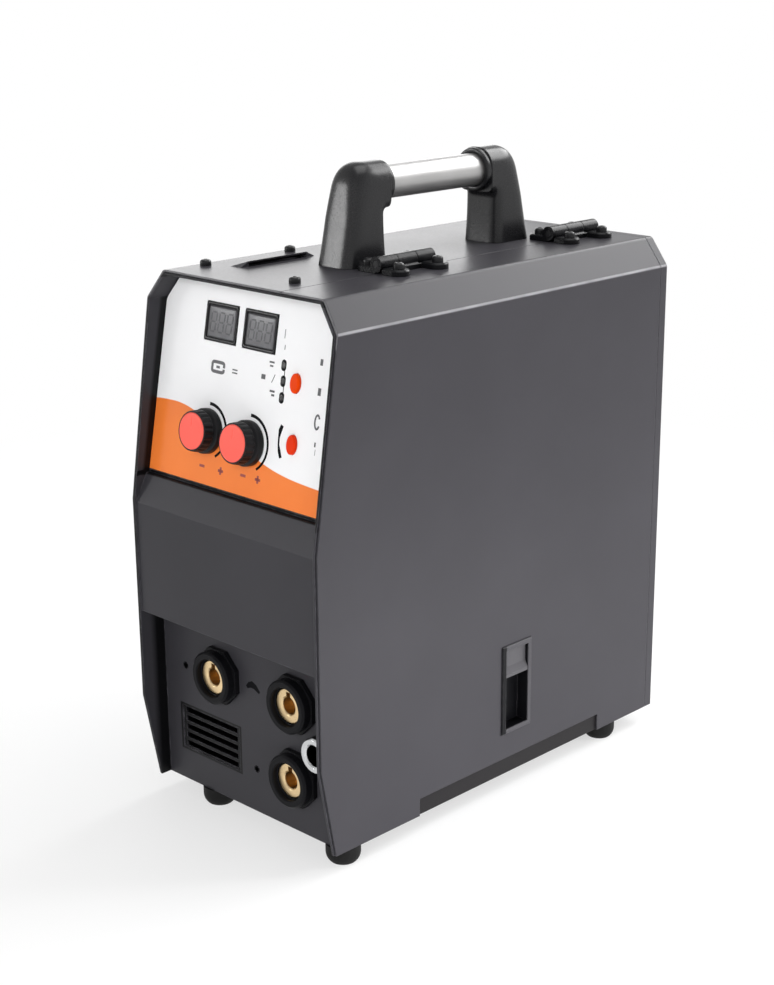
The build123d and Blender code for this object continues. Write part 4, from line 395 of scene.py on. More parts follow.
# %% Metals and inner mouldings
# Painted shade on the divider's top edge, under the seam of the casing.
SEAM_SHADE_BLACK = (0.006, 0.006, 0.006)
finishes.update({
    "divider_zinc": finish(
        "zinc_plated_sheet", (0.52, 0.53, 0.54), 0.38, metal=1.0, vary=0.06, patch=40.0, grain=900.0, depth=0.01,
        uneven=0.03, stretch=(1.0, 0.15, 1.0), trim=(seam_shade_share, SEAM_SHADE_BLACK)),
    "pin_steel": finish(
        "ground_steel", (0.60, 0.60, 0.61), 0.25, metal=1.0, grain=2000.0, depth=0.006, stretch=(8.0, 1.0, 8.0)),
    "fan_plastic": finish("black_glass_filled_nylon", (0.020, 0.020, 0.022), 0.44, grain=1400.0, depth=0.03),
    "rocker_plastic": finish("black_rocker_gloss", (0.018, 0.018, 0.020), 0.22, grain=1400.0, depth=0.01),
    "valve_metal": finish(
        "nickel_plated_brass", (0.66, 0.62, 0.52), 0.28, metal=1.0, grain=1500.0, depth=0.008),
    "feeder_cast": finish(
        "cast_aluminium", (0.46, 0.47, 0.48), 0.48, metal=1.0, vary=0.12, patch=40.0, grain=700.0, depth=0.08),
    "motor_steel": finish(
        "motor_can_steel", (0.40, 0.40, 0.41), 0.34, metal=1.0, grain=1300.0, depth=0.01, stretch=(1.0, 8.0, 8.0)),
    "hub_plastic": finish("black_hub_moulding", (0.022, 0.022, 0.024), 0.42, grain=1500.0, depth=0.03),
    "sink_aluminium": finish(
        "extruded_aluminium", (0.70, 0.71, 0.72), 0.34, metal=1.0, grain=900.0, depth=0.01,
        stretch=(10.0, 0.6, 10.0)),
    "transformer_core": finish(
        "ferrite_and_tape", (0.10, 0.075, 0.03), 0.50, patch=60.0, grain=900.0, depth=0.03),
})
print("finishes so far:", len(finishes))

# %% [markdown]
# ## Brushed grip tube
#
# The grip is a drawn aluminium tube that was brushed along its length. Streaks could be painted, but noise that
# is stretched thirty times along the tube gives the same broken lines in gloss and bump at once.

# %% Brushed aluminium
finishes["handle_aluminium"] = finish(
    "brushed_aluminium", (0.44, 0.436, 0.432), 0.38, metal=0.85, vary=0.05, patch=30.0, grain=1800.0, depth=0.006,
    uneven=0.09, stretch=(1.0, 0.03, 1.0), soft=0.6)
print("brushed:", finishes["handle_aluminium"].name)

# %% [markdown]
# ## Circuit boards
#
# The boards behind the console and over the heat sinks are green laminate with fine copper tracks. They are seen
# only with the door open, so a brick pattern of thin lines stands for the tracks.

# %% Green laminate with tracks
LAMINATE = {"Scale": 120.0, "Mortar Size": 0.03, "Color1": (0.010, 0.085, 0.032, 1.0),
            "Color2": (0.014, 0.105, 0.040, 1.0), "Mortar": (0.045, 0.20, 0.085, 1.0)}
SHADE_COLOUR, SHADE_PATCH, SHADE_SHARE = (0.02, 0.07, 0.03), 35.0, (0.0, 0.35)
MASK_ROUGH, TRACK_BUMP = (0.28, 0.42), 0.05 * MM


def laminate():
    """Green board with lighter tracks from a brick pattern and a soft solder-mask gloss."""
    material, tree, shader, place = blank("green_laminate")
    tracks = add(tree, "TexBrick", {"Vector": place, **LAMINATE})
    patches = noise(tree, place, SHADE_PATCH)
    shade = span(tree, patches, *NOISE, *SHADE_SHARE)
    tree.links.new(mix(tree, shade, tracks.outputs["Color"], SHADE_COLOUR), shader.inputs["Base Color"])
    tree.links.new(span(tree, patches, *NOISE, *MASK_ROUGH), shader.inputs["Roughness"])
    bump = add(tree, "Bump", {"Height": tracks.outputs["Fac"], "Distance": TRACK_BUMP})
    tree.links.new(bump.outputs["Normal"], shader.inputs["Normal"])
    return material


finishes["circuit_board"] = laminate()
print("board finish:", finishes["circuit_board"].name)

# %% [markdown]
# ## The printed console
#
# The console is a white film with an orange field that falls in a wave from left to right. Cutting that shape
# out of the mesh would need a fine edge; a curve inside the material draws it instead. A point's height up the
# slope is compared with the curve's height at the same x, and a soft step half a millimetre wide parts the inks.

# %% White film with the orange wave
UP = np.array([0.0, math.sin(LEAN), math.cos(LEAN)])
FILM_HALF, FILM_TALL, INK_EDGE = 100.0 * MM, 150.0 * MM, 0.25 * MM
FILM_PATCH, FILM_GRAIN, FILM_ROUGH, FILM_GLOSS, FILM_BUMP = 18.0, 1300.0, (0.30, 0.38), 0.2, 0.006 * MM
WAVE = ((0.0, 0.354), (0.09, 0.363), (0.16, 0.362), (0.237, 0.343), (0.45, 0.252), (0.657, 0.170), (0.74, 0.149),
        (0.84, 0.136), (1.0, 0.128))
WHITES = ((0.86, 0.86, 0.87), (0.90, 0.90, 0.91))
ORANGES = ((0.82, 0.190, 0.030), (0.88, 0.220, 0.040))


def printed_film():
    """White film whose orange field lies under the wave: height against x, as shares of film height and width."""
    material, tree, shader, place = blank("printed_console_film")
    inside = vector(tree, "SUBTRACT", place, tuple(CONSOLE_FOOT), "Vector")
    height = vector(tree, "DOT_PRODUCT", inside, tuple(UP), "Value")
    curve = add(tree, "FloatCurve", {"Value": span(tree, axes(tree, inside)["X"], -FILM_HALF, FILM_HALF)})
    points = curve.mapping.curves[0].points
    points[0].location = WAVE[0]
    points[1].location = WAVE[-1]
    for spot in WAVE[1:-1]:
        points.new(*spot)
    curve.mapping.update()
    edge = calc(tree, "MULTIPLY", curve.outputs["Value"], FILM_TALL)
    under = span(tree, calc(tree, "SUBTRACT", edge, height), -INK_EDGE, INK_EDGE)
    patches = span(tree, noise(tree, place, FILM_PATCH), *NOISE)
    ink = mix(tree, under, mix(tree, patches, *WHITES), mix(tree, patches, *ORANGES))
    tree.links.new(ink, shader.inputs["Base Color"])
    fine = noise(tree, place, FILM_GRAIN)
    tree.links.new(span(tree, fine, *NOISE, *FILM_ROUGH), shader.inputs["Roughness"])
    shader.inputs["Specular IOR Level"].default_value = FILM_GLOSS
    bump = add(tree, "Bump", {"Height": fine, "Distance": FILM_BUMP})
    tree.links.new(bump.outputs["Normal"], shader.inputs["Normal"])
    return material


finishes["overlay_print"] = printed_film()
print("console film:", finishes["overlay_print"].name)

# %% [markdown]
# ## Putting the finishes on
#
# The record of the part says which finish each solid has, so the solids are dressed in one pass. The two keys
# on the console differ a little in colour, so the lower one gets its own finish, and the hinge pins are black like
# the screws.

# %% Dress the CAD solids
slots = {entry["node"]: entry["material_slot"] for entry in frame["record"]["subparts"]}
for name, solid in frame["nodes"].items():
    solid.data.materials.clear()
    solid.data.materials.append(finishes[slots[name]])
frame["nodes"]["check_button"].data.materials[0] = finish(
    "red_key_moulding", (0.72, 0.036, 0.006), 0.34, vary=0.05, grain=1600.0, depth=0.01, soft=0.6, rub_highlight=1.0,
    gloss=0.05)
frame["nodes"]["hinge_pins"].data.materials[0] = finishes["fastener_steel"]
print("dressed:", len(slots))

# %% [markdown]
# ## From arrays to meshes
#
# Every new piece is a grid of points worked out as one numpy array, rows along one parameter and columns along
# the other. A helper turns such grids into faces, closes the seam where the columns meet again, merges the poles
# and lets the piece ride on the body that carries it.

# %% Grid helpers
MERGE = 1e-6


def grid_faces(rows, columns, closed, start):
    """Corners of each cell of a grid: row i to i + 1, column j to j + 1, the last joined to the first if closed."""
    i, j = np.meshgrid(np.arange(rows - 1), np.arange(columns if closed else columns - 1), indexing="ij")
    k = (j + 1) % columns
    corners = [i * columns + j, i * columns + k, (i + 1) * columns + k, (i + 1) * columns + j]
    return np.stack(corners, axis=-1).reshape(-1, 4) + start


def piece(name, grids, body, material, nodes=(), closed=True, thick=0.0, sharp=35.0):
    """Mesh object from point grids, with poles merged, normals outwards, on a body and in place of CAD nodes."""
    points, faces, start = [], [], 0
    for grid in grids:
        rows, columns = grid.shape[:2]
        faces.append(grid_faces(rows, columns, closed, start))
        points.append(grid.reshape(-1, 3))
        start += rows * columns
    mesh = bpy.data.meshes.new(name)
    mesh.from_pydata(np.concatenate(points).tolist(), [], np.concatenate(faces).tolist())
    work = bmesh.new()
    work.from_mesh(mesh)
    bmesh.ops.remove_doubles(work, verts=work.verts, dist=MERGE)
    bmesh.ops.recalc_face_normals(work, faces=work.faces)
    work.to_mesh(mesh)
    work.free()
    mesh.shade_smooth()
    mesh.set_sharp_from_angle(angle=math.radians(sharp))
    mesh.materials.append(material)
    made = bpy.data.objects.new(name, mesh)
    bpy.context.collection.objects.link(made)
    if thick:
        solid = made.modifiers.new("thickness", "SOLIDIFY")
        solid.thickness = thick
        solid.offset = 0.0
    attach(made, body)
    if nodes:
        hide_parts(*nodes)
    return made


print("grid helpers ready")

# %% [markdown]
# ## Handle posts
#
# Two moulded posts carry the grip. Seen from the side a post leans in at its outer face, turns over in a soft
# corner and reaches along the tube; seen from the front it is a square with well rounded edges. A box with
# rounded edges would miss the flow between the two, so the post is a loft: an outer and an inner side line, with
# a squared oval set across between them at every step.

# %% Lines and the loft of a post
TOP, AXIS, HALF_WIDTH = 412.0, 468.5, 17.0
BASE, BOSS, COLLAR, POST_LEAN, CORNER, FLARE = 38.5, 10.5, 5.0, 10.0, 17.0, 1.6
HEAD_STEPS, CORNER_STEPS, SIDE_STEPS, LIP_STEPS, HOLLOW_STEPS, ROUND_STEPS = 10, 20, 18, 4, 26, 120
CROWN_POWER, FOOT_POWER, INNER_POWER = 2.3, 4.8, 6.0


def line(first, second, count):
    """Points from first to second, evenly spaced, without the last one."""
    share = np.linspace(0.0, 1.0, count, endpoint=False)[:, None]
    return np.array(first) * (1.0 - share) + np.array(second) * share


def arc(first, control, second, count):
    """Quadratic curve from first to second that leaves and arrives along the lines through control."""
    share = np.linspace(0.0, 1.0, count, endpoint=False)[:, None]
    first, control, second = np.array(first), np.array(control), np.array(second)
    return (1 - share) ** 2 * first + 2 * share * (1 - share) * control + share**2 * second


def bent(value, power):
    """Value raised to a power with its sign kept."""
    return np.sign(value) * np.abs(value) ** power


def capped(rings):
    """Rings with a pole at the middle of the first and the last one, so that both ends close."""
    ends = [np.broadcast_to(ring.mean(axis=0), ring.shape)[None] for ring in (rings[0], rings[-1])]
    return np.concatenate([ends[0], rings, ends[1]])


def post_grid(outer, inward):
    """Loft of squared ovals |c|^n + |s|^n = 1 between an outer and an inner line.

    n is 6 on the inner side, and grows from 2.3 at the round crown to 4.8 at the foot on the outer side. The foot
    flares by the square of the way down.
    """
    head, under, heel = AXIS + HALF_WIDTH, AXIS - HALF_WIDTH, outer + inward * BASE
    lip, curve = heel + inward * (BOSS - COLLAR), BOSS - COLLAR
    brow = (outer + inward * POST_LEAN, head - CORNER)
    corner = (brow[0] + inward * POST_LEAN * CORNER / (head - CORNER - TOP), head)
    crown = (brow[0] + inward * CORNER, head)
    hollow = (heel, under - curve)
    outer_line = np.concatenate([line((lip, head), crown, HEAD_STEPS), arc(crown, corner, brow, CORNER_STEPS),
                                 line(brow, (outer, TOP), SIDE_STEPS), [(outer, TOP)]])
    inner_line = np.concatenate([line((lip, under), (lip, under), LIP_STEPS),
                                 arc((lip, under), (heel, under), hollow, HOLLOW_STEPS),
                                 line(hollow, (heel, TOP), SIDE_STEPS), [(heel, TOP)]])
    down = np.clip((AXIS - (outer_line + inner_line)[:, 1] / 2) / (AXIS - TOP), 0.0, 1.0)[:, None]
    spread = down**2 * [inward * FLARE, 0.0]
    middle, reach = (outer_line + inner_line) / 2, (outer_line - inner_line) / 2 - spread
    angle = np.linspace(0.0, 2 * np.pi, ROUND_STEPS, endpoint=False)
    c, s = np.cos(angle), np.sin(angle)
    outside = CROWN_POWER + (FOOT_POWER - CROWN_POWER) * np.clip(2.0 * down, 0.0, 1.0)
    power = np.where(c > 0.0, outside, INNER_POWER)
    along = bent(c, 2 / power)
    across = bent(s, 2 / power) * (HALF_WIDTH + FLARE * down**2)
    flat = middle[:, None, :] + reach[:, None, :] * along[..., None]
    return capped(np.stack([across, flat[..., 0], flat[..., 1]], axis=-1)) * MM


print("post is %.1f mm high" % (AXIS + HALF_WIDTH - TOP))

# %% [markdown]
# ## Collars round the tube
#
# Each post ends in a collar that hugs the tube. It is a ring whose section is a squared oval, turned about the
# tube's axis. Post and collar are one moulding, so both grids go into one piece.

# %% Posts with their collars
COLLAR_RADIUS, COLLAR_BULGE, COLLAR_LAP, COLLAR_POWER = 14.6, 2.0, 0.5, 4.0
TURN_STEPS, SPIN_STEPS = 25, 72
POSTS = (("front", -89.5, 1.0), ("rear", 109.0, -1.0))


def collar_grid(outer, inward):
    """Ring round the tube: a squared oval of radius and length, of power 4, turned about the tube's axis."""
    start = outer + inward * (BASE + BOSS - COLLAR)
    section, sweep = np.linspace(0, 2 * np.pi, TURN_STEPS), np.linspace(0, 2 * np.pi, SPIN_STEPS, endpoint=False)
    turn, spin = np.meshgrid(section, sweep, indexing="ij")
    radius = COLLAR_RADIUS + COLLAR_BULGE * bent(np.sin(turn), 2 / COLLAR_POWER)
    half = COLLAR / 2 + COLLAR_LAP
    length = start + inward * (COLLAR / 2 - COLLAR_LAP + half * bent(np.cos(turn), 2 / COLLAR_POWER))
    return np.stack([radius * np.sin(spin), length, AXIS + radius * np.cos(spin)], axis=-1) * MM


for name, outer, inward in POSTS:
    grids = [post_grid(outer, inward), collar_grid(outer, inward)]
    made = piece("handle_post_" + name, grids, "casing", finishes["handle_plastic"],
                 ["handle_%s_post" % name])
    print(made.name, "faces:", len(made.data.polygons))

# %% [markdown]
# ## Control knobs
#
# Each knob is a black moulding with a skirt, a groove and a fluted grip, and a salmon cap pressed into its top.
# A turned shape is a profile spun about an axis; the flutes are a cosine taken off the radius, only where the
# grip is, and the pointer is a groove taken off the cap's crown, so each stays one surface. A place on the console
# is x across and height up its slope, and one helper puts such points on the lean.

# %% Fluted knobs and their caps
KNOB_PROFILE = np.array([
    (0.0, 1.35), (16.2, 1.35), (16.45, 1.6), (16.5, 3.0), (16.4, 5.4), (16.1, 6.2), (15.3, 6.6), (14.2, 6.9),
    (13.9, 7.4), (13.9, 8.2), (14.3, 8.6), (15.0, 8.9), (15.2, 9.4), (15.1, 11.0), (14.9, 13.0), (14.7, 15.0),
    (14.5, 15.8), (14.2, 16.3), (13.75, 16.5), (13.45, 16.4), (13.4, 15.8), (13.4, 13.8), (0.0, 13.8)])
CAP_PROFILE = np.array([
    (0.0, 13.9), (13.3, 13.9), (13.3, 16.1), (13.15, 16.55), (12.8, 16.85), (12.2, 17.0), (9.0, 17.05),
    (4.5, 17.1), (0.0, 17.12)])
FLUTES, FLUTE_CUT, GRIP_LOW, GRIP_HIGH, RUN_IN, RUN_OUT = 20, 0.75, 8.9, 15.9, 0.8, 0.6
POINTER_HALF, POINTER_LOW, POINTER_HIGH, POINTER_DEEP, POINTER_SIDE = 0.7, 3.35, 10.05, 0.4, 0.3
CAP_CROWN, TURNED_SHARP = 16.9, 50.0
KNOB_STEPS, GRIP_FINE, CAP_FINE = 192, 2, 6
KNOBS = {"left": (-35.2, 39.2), "right": (9.2, 38.4)}


def on_console(x, height, lift):
    """Points of the console: foot plus x across, height up the slope and lift along its outward normal, in mm."""
    x, height, lift = np.broadcast_arrays(x, height, lift)
    across = x[..., None] * np.array([1.0, 0.0, 0.0])
    return CONSOLE_FOOT + (across + height[..., None] * UP + lift[..., None] * OUT) * MM


def pointer(u, v):
    """Depth of the groove up a cap: POINTER_DEEP over its width and length, falling off straight at its sides."""
    across = np.clip((POINTER_HALF - np.abs(u)) / POINTER_SIDE + 0.5, 0, 1)
    along = np.clip((v - POINTER_LOW) / POINTER_SIDE, 0, 1) * np.clip((POINTER_HIGH - v) / POINTER_SIDE, 0, 1)
    return POINTER_DEEP * across * along


def turned(profile, x, height, fluted=False, crown=None):
    """Profile of (radius, lift) spun about the console's normal at x, height.

    Over the grip of a fluted one, FLUTE_CUT * ((1 + cos) / 2)^2 is taken off the radius. Over crown, a lift, the
    pointer's depth is taken off the lift.
    """
    angle = np.linspace(0.0, 2 * np.pi, KNOB_STEPS, endpoint=False)[None, :]
    radius, lift = profile[:, :1], profile[:, 1:]
    if fluted:
        inside = np.clip((lift - GRIP_LOW) / RUN_IN, 0, 1) * np.clip((GRIP_HIGH - lift) / RUN_OUT, 0, 1)
        radius = radius - inside * FLUTE_CUT * (0.5 + 0.5 * np.cos(FLUTES * angle)) ** 2
    u, v = radius * np.cos(angle), radius * np.sin(angle)
    if crown:
        lift = lift - pointer(u, v) * (lift > crown)
    return on_console(x + u, height + v, lift)


def refine(profile, count):
    """The same profile with count steps between its points, evenly along each stretch."""
    share = np.arange(count)[None, :, None] / count
    steps = profile[:-1, None, :] * (1 - share) + profile[1:, None, :] * share
    return np.concatenate([steps.reshape(-1, 2), profile[-1:]])


for name, (x, height) in KNOBS.items():
    grip = turned(refine(KNOB_PROFILE, GRIP_FINE), x, height, fluted=True)
    cap = turned(refine(CAP_PROFILE, CAP_FINE), x, height, crown=CAP_CROWN)
    piece("dial_" + name, [grip], name + "_knob", finishes["knob_black"], ["knob_" + name],
          sharp=TURNED_SHARP)
    piece("dial_cap_" + name, [cap], name + "_knob", finishes["knob_cap_red"],
          ["knob_cap_" + name], sharp=TURNED_SHARP)
print("knobs:", list(KNOBS))

# %% [markdown]
# ## Display windows
#
# Two windows cover the meters. Each is a dark bezel round a grey lens. A bezel is a small section carried round a
# rounded rectangle, and the lens is a sheet that swells a little in its middle, so that it catches the light as a
# moulded window does.

# %% Bezels and lenses
DISPLAYS = ((-32.7, 117.4), (8.6, 117.3))
DISPLAY_WIDE, DISPLAY_TALL, BEZEL, BEZEL_CORNER = 34.6, 27.8, 2.5, 1.6
LENS_LAP, LENS_LIFT, LENS_SWELL, LENS_THICK = 0.6, 0.9, 0.4, 0.2
BEZEL_STEPS, LENS_STEPS = 64, (17, 15)
SECTION = np.array([
    (0.0, 0.4), (0.0, 1.35), (0.35, 1.6), (BEZEL - 0.7, 1.6), (BEZEL, 1.2), (BEZEL, 0.4), (0.0, 0.4)])


def bezel(x, height):
    """Section of (inset, lift) carried round a rounded rectangle: a corner arc at each corner."""
    angle = np.linspace(0.0, 2 * np.pi, BEZEL_STEPS, endpoint=False) + np.pi / BEZEL_STEPS
    inset, lift = SECTION[:, :1], SECTION[:, 1:]
    c, s = np.cos(angle), np.sin(angle)
    across = np.sign(c) * (DISPLAY_WIDE / 2 - BEZEL_CORNER - inset) + c * BEZEL_CORNER
    along = np.sign(s) * (DISPLAY_TALL / 2 - BEZEL_CORNER - inset) + s * BEZEL_CORNER
    return on_console(x + across, height + along, lift)


def swelling(x, height):
    """Sheet within the bezel whose lift is LENS_LIFT + LENS_SWELL * (1 - u^4) * (1 - v^4), u and v from -1 to 1."""
    u, v = np.meshgrid(*(np.linspace(-1, 1, count) for count in LENS_STEPS), indexing="ij")
    wide, tall = DISPLAY_WIDE - 2 * BEZEL + LENS_LAP, DISPLAY_TALL - 2 * BEZEL + LENS_LAP
    return on_console(x + u * wide / 2, height + v * tall / 2, LENS_LIFT + LENS_SWELL * (1 - u**4) * (1 - v**4))


lens_finish = finish(
    "smoked_display_lens", (0.150, 0.150, 0.158), 0.22, vary=0.10, patch=150.0, grain=600.0, depth=0.004,
    stretch=(3.0, 1.0, 0.6), gloss=0.12)
piece("display_bezels", [bezel(*spot) for spot in DISPLAYS], "casing", finishes["window"],
      ["display_windows"])
piece("display_lenses", [swelling(*spot) for spot in DISPLAYS], "casing", lens_finish, closed=False,
      thick=LENS_THICK * MM)
print("displays:", len(DISPLAYS))

# %% [markdown]
# ## Unlit digits
#
# Behind each lens are three digits of seven segments, dark while the machine is off. They could be a painted
# pattern, but real strokes keep their edge in a close view. A stroke is a flat bar along a path, with a width that
# may change along it and a plane to lie on, and the printed marks further down use it too.

# %% Strokes and digits
DIGIT_WIDE, DIGIT_TALL, DIGIT_STEPS, DIGIT_LEAN = 5.6, 14.0, (-8.6, 0.0, 8.6), 0.1
SEGMENT_WIDE, SEGMENT_GAP, SEGMENT_LOW, SEGMENT_HIGH = 1.2, 0.12, 0.9, 1.46


def stroke(place, path, width, low, high):
    """Flat bar along a path: at every point a rectangle of the width there, from low to high, closed at both ends."""
    path = np.array(path, float)
    way = np.gradient(path, axis=0)
    side = np.stack([-way[:, 1], way[:, 0]], axis=-1) / np.linalg.norm(way, axis=1)[:, None]
    half = np.broadcast_to(np.array(width, float) / 2, len(path))[:, None, None]
    spots = path[:, None, :] + side[:, None, :] * half * np.array([-1, -1, 1, 1])[None, :, None]
    return capped(place(spots[..., 0], spots[..., 1], np.array([low, high, high, low])))


def digit(x, height):
    """Seven strokes of a digit that lean a tenth of their height to the right, each drawn in at both ends."""
    left, right, half = -DIGIT_WIDE / 2, DIGIT_WIDE / 2, DIGIT_TALL / 2
    runs = [((left, half), (right, half)), ((left, 0), (right, 0)), ((left, -half), (right, -half))]
    runs += [((side, end * half), (side, 0)) for side in (left, right) for end in (-1, 1)]
    bars = []
    for run in runs:
        ends = np.array(run)
        ends = ends + (ends[::-1] - ends) * SEGMENT_GAP
        spots = np.linspace(ends[0], ends[1], 4)
        path = spots + [x, height] + spots[:, 1:] * [DIGIT_LEAN, 0.0]
        bars.append(stroke(on_console, path, SEGMENT_WIDE, SEGMENT_LOW, SEGMENT_HIGH))
    return bars


digit_finish = finish(
    "unlit_segments", (0.085, 0.085, 0.090), 0.30, vary=0.10, patch=300.0, grain=900.0, depth=0.002, soft=0.05,
    rub_highlight=1.0, gloss=0.12)
digits = [bar for x, height in DISPLAYS for step in DIGIT_STEPS for bar in digit(x + step, height)]
piece("display_digits", digits, "casing", digit_finish)
print("digit strokes:", len(digits))

# %% [markdown]
# ## Paths for printed marks
#
# The film carries dials round the knobs, a column of mode signs and plain symbols. They are thin ink, so each is a
# stroke a few hundredths of a millimetre proud of what it is printed on. Three kinds of path are enough to draw
# them: a part of an oval, a short dash, and a bar that swells like a lamp.

# %% Ovals, dashes and inks
INK_LOW, INK_HIGH = 0.9, 1.05
INK = {"patch": 200.0, "grain": 1500.0, "depth": 0.002, "soft": 0.05}


def ring(x, height, wide, tall, start, end, power=2.0, count=48):
    """Path round a squared oval |c|^power + |s|^power = 1 from one angle to another, in degrees."""
    angle = np.radians(np.linspace(start, end, count))
    across, along = bent(np.cos(angle), 2 / power), bent(np.sin(angle), 2 / power)
    return np.stack([x + wide / 2 * across, height + tall / 2 * along], axis=-1)


def dash(x, height, wide, tall):
    """Short path along the longer side of wide by tall, and the shorter side as its width."""
    run = np.array([wide - tall, 0.0]) if wide > tall else np.array([0.0, tall - wide])
    spot = np.array([x, height])
    return np.linspace(spot - run / 2, spot + run / 2, 6), min(wide, tall)


def cross(x, height, size, width):
    """Two dashes that make a plus sign."""
    return [dash(x, height, size, width), dash(x, height, width, size)]


def lamp(x, height, width, half):
    """Upright path with a width that swells from its ends like a stretched circle."""
    path = np.linspace((x, height - half), (x, height + half), 16)
    share = np.linspace(-1.0, 1.0, len(path))
    return path, width * np.sqrt(np.clip(1.0 - share**4, 0.02, 1.0))


def ink(marks):
    """Strokes on the film for a list of paths and widths."""
    return [stroke(on_console, path, width, INK_LOW, INK_HIGH) for path, width in marks]


black_ink = finish("black_ink", (0.004, 0.004, 0.005), 0.50, rub_highlight=1.0, gloss=0.04, **INK)
grey_ink = finish("grey_ink", (0.045, 0.045, 0.050), 0.40, **INK)
brown_ink = finish("red_brown_ink", (0.24, 0.018, 0.012), 0.40, **INK)
print("inks:", black_ink.name, grey_ink.name, brown_ink.name)

# %% [markdown]
# ## Dials and signs on the film
#
# A dial is a thin sweep round the right half of each knob, wider at its start. Mode lamps stand in a column with a
# line through them, and dashes and two open ovals are plain symbols. A minus and a plus under each knob say which
# way to turn it.

# %% Dials, lamps and symbols
DIAL_WIDE, DIAL_ARC, DIAL_WIDTHS, DIAL_STEPS = 39.6, (92.0, -58.0), (2.4, 1.8), 60
LAMPS, LAMP_WIDE, LAMP_HALF = ((36.1, 97.7), (37.0, 86.8), (37.3, 75.3)), 5.0, 4.0
LINE_STEP, LINE_WIDE = (1.2, 0.0), 0.7
HOOK = ((41.4, 56.8), (39.9, 53.0), (39.3, 48.0), (39.6, 43.0), (41.0, 38.6), (43.0, 34.2))
HOOK_WIDTHS = (3.0, 3.4, 1.8, 1.6, 2.8, 2.6)
DASHES = (
    (-31.5, 86.0, 5.6, 1.8), (-13.3, 86.7, 6.6, 1.0), (-13.3, 84.5, 6.6, 1.0), (23.9, 98.0, 6.4, 1.3),
    (23.9, 95.4, 4.8, 1.3), (16.7, 86.8, 7.6, 3.4), (27.2, 78.2, 6.6, 1.5), (28.2, 75.6, 4.6, 1.5),
    (33.9, 119.2, 0.7, 7.0), (35.2, 110.0, 0.7, 4.0), (72.6, 105.3, 2.6, 7.0), (73.6, 85.3, 3.0, 8.2),
    (75.2, 49.4, 4.6, 3.2), (76.0, 44.2, 4.6, 4.2))
OVALS = (((-31.5, 86.0, 12.6, 7.0, 0.0, 359.0, 6.0), 2.4), ((74.8, 64.8, 4.4, 9.6, 30.0, 330.0), 1.5))
SLASH, SLASH_WIDE = ((25.6, 84.0), (28.4, 90.0)), 0.7
TURN_SIGNS, TURN_SIZE, TURN_WIDTH = ((-37.5, -17.0, 13.3), (7.0, 22.5, 14.8)), 7.4, 1.9

sweep_widths = np.linspace(*DIAL_WIDTHS, DIAL_STEPS)
dials = [(ring(x, height, DIAL_WIDE, DIAL_WIDE, *DIAL_ARC, count=DIAL_STEPS), sweep_widths)
         for x, height in KNOBS.values()]
signs = [lamp(x, height, LAMP_WIDE, LAMP_HALF) for x, height in LAMPS]
signs += [(np.linspace(LAMPS[0], LAMPS[-1], 12) + LINE_STEP, LINE_WIDE), (HOOK, HOOK_WIDTHS)]
piece("console_dials", ink(dials + signs), "casing", black_ink)
quiet = [dash(*spot) for spot in DASHES] + [(ring(*oval), width) for oval, width in OVALS]
quiet += [(np.linspace(*SLASH, 6), SLASH_WIDE)]
piece("console_signs", ink(quiet), "casing", grey_ink)
turns = []
for minus, plus, height in TURN_SIGNS:
    turns += [dash(minus, height, TURN_SIZE, TURN_WIDTH), *cross(plus, height, TURN_SIZE, TURN_WIDTH)]
piece("knob_signs", ink(turns), "casing", brown_ink)
print("strokes:", len(dials + signs), len(quiet), len(turns))

# %% [markdown]
# ## Polarity signs on the socket panel
#
# Two plus signs and a small hump are printed beside the sockets. The panel stands upright, so its plane needs only
# a fixed depth, and the strokes start just inside it, so that no gap shows under them.

# %% Polarity signs
PANEL_FACE, PANEL_FOOT, PANEL_PRINT = -182.5, 14.0, (-0.1, 0.05)
POLES, POLE_SIZE, POLE_WIDTH = ((-72.0, 96.0), (7.0, 35.0)), 8.6, 3.0
HUMP = ((-1.5, 98.8), (1.5, 101.2), (4.5, 102.2), (8.0, 101.0), (12.5, 97.6))
HUMP_WIDTHS = (2.6, 4.4, 5.6, 4.6, 2.2)


def on_panel(x, height, lift):
    """Points of the socket panel: x across, height over the underside of the casing and lift forwards, in mm."""
    x, height, lift = np.broadcast_arrays(x, height, lift)
    return np.stack([x, PANEL_FACE - lift, height + PANEL_FOOT], axis=-1) * MM


poles = [mark for x, height in POLES for mark in cross(x, height, POLE_SIZE, POLE_WIDTH)] + [(HUMP, HUMP_WIDTHS)]
strokes = [stroke(on_panel, path, width, *PANEL_PRINT) for path, width in poles]
piece("polarity_signs", strokes, "casing", black_ink)
print("polarity strokes:", len(strokes))

# %% [markdown]
# ## Marks on the mains switch
#
# A mains rocker is moulded in black with a bar for on and a ring for off printed in white. The same strokes serve,
# on a plane of their own: the rocker's face is folded, so points over the fold lean out and points under it do not.

# %% Bar and ring on the rocker
ROCKER_FOLD = np.array([-46.0, 182.95, 333.3]) * MM
ROCKER_LEAN, ROCKER_PRINT = math.radians(16.0), (-0.1, 0.06)
MARK_HEIGHT, BAR_WIDE, BAR_TALL, RING_WIDE, RING_INK = 5.8, 1.1, 6.0, 4.8, 1.0


def on_rocker(x, height, lift):
    """Points of the rocker: x across, height from its fold and lift off its face, in mm.

    Over the fold the face leans out: height and lift are turned by ROCKER_LEAN.
    """
    x, height, lift = np.broadcast_arrays(x, height, lift)
    lean = np.where(height > 0.0, ROCKER_LEAN, 0.0)
    out = height * np.sin(lean) + lift * np.cos(lean)
    up = height * np.cos(lean) - lift * np.sin(lean)
    return ROCKER_FOLD + np.stack([x, out, up], axis=-1) * MM


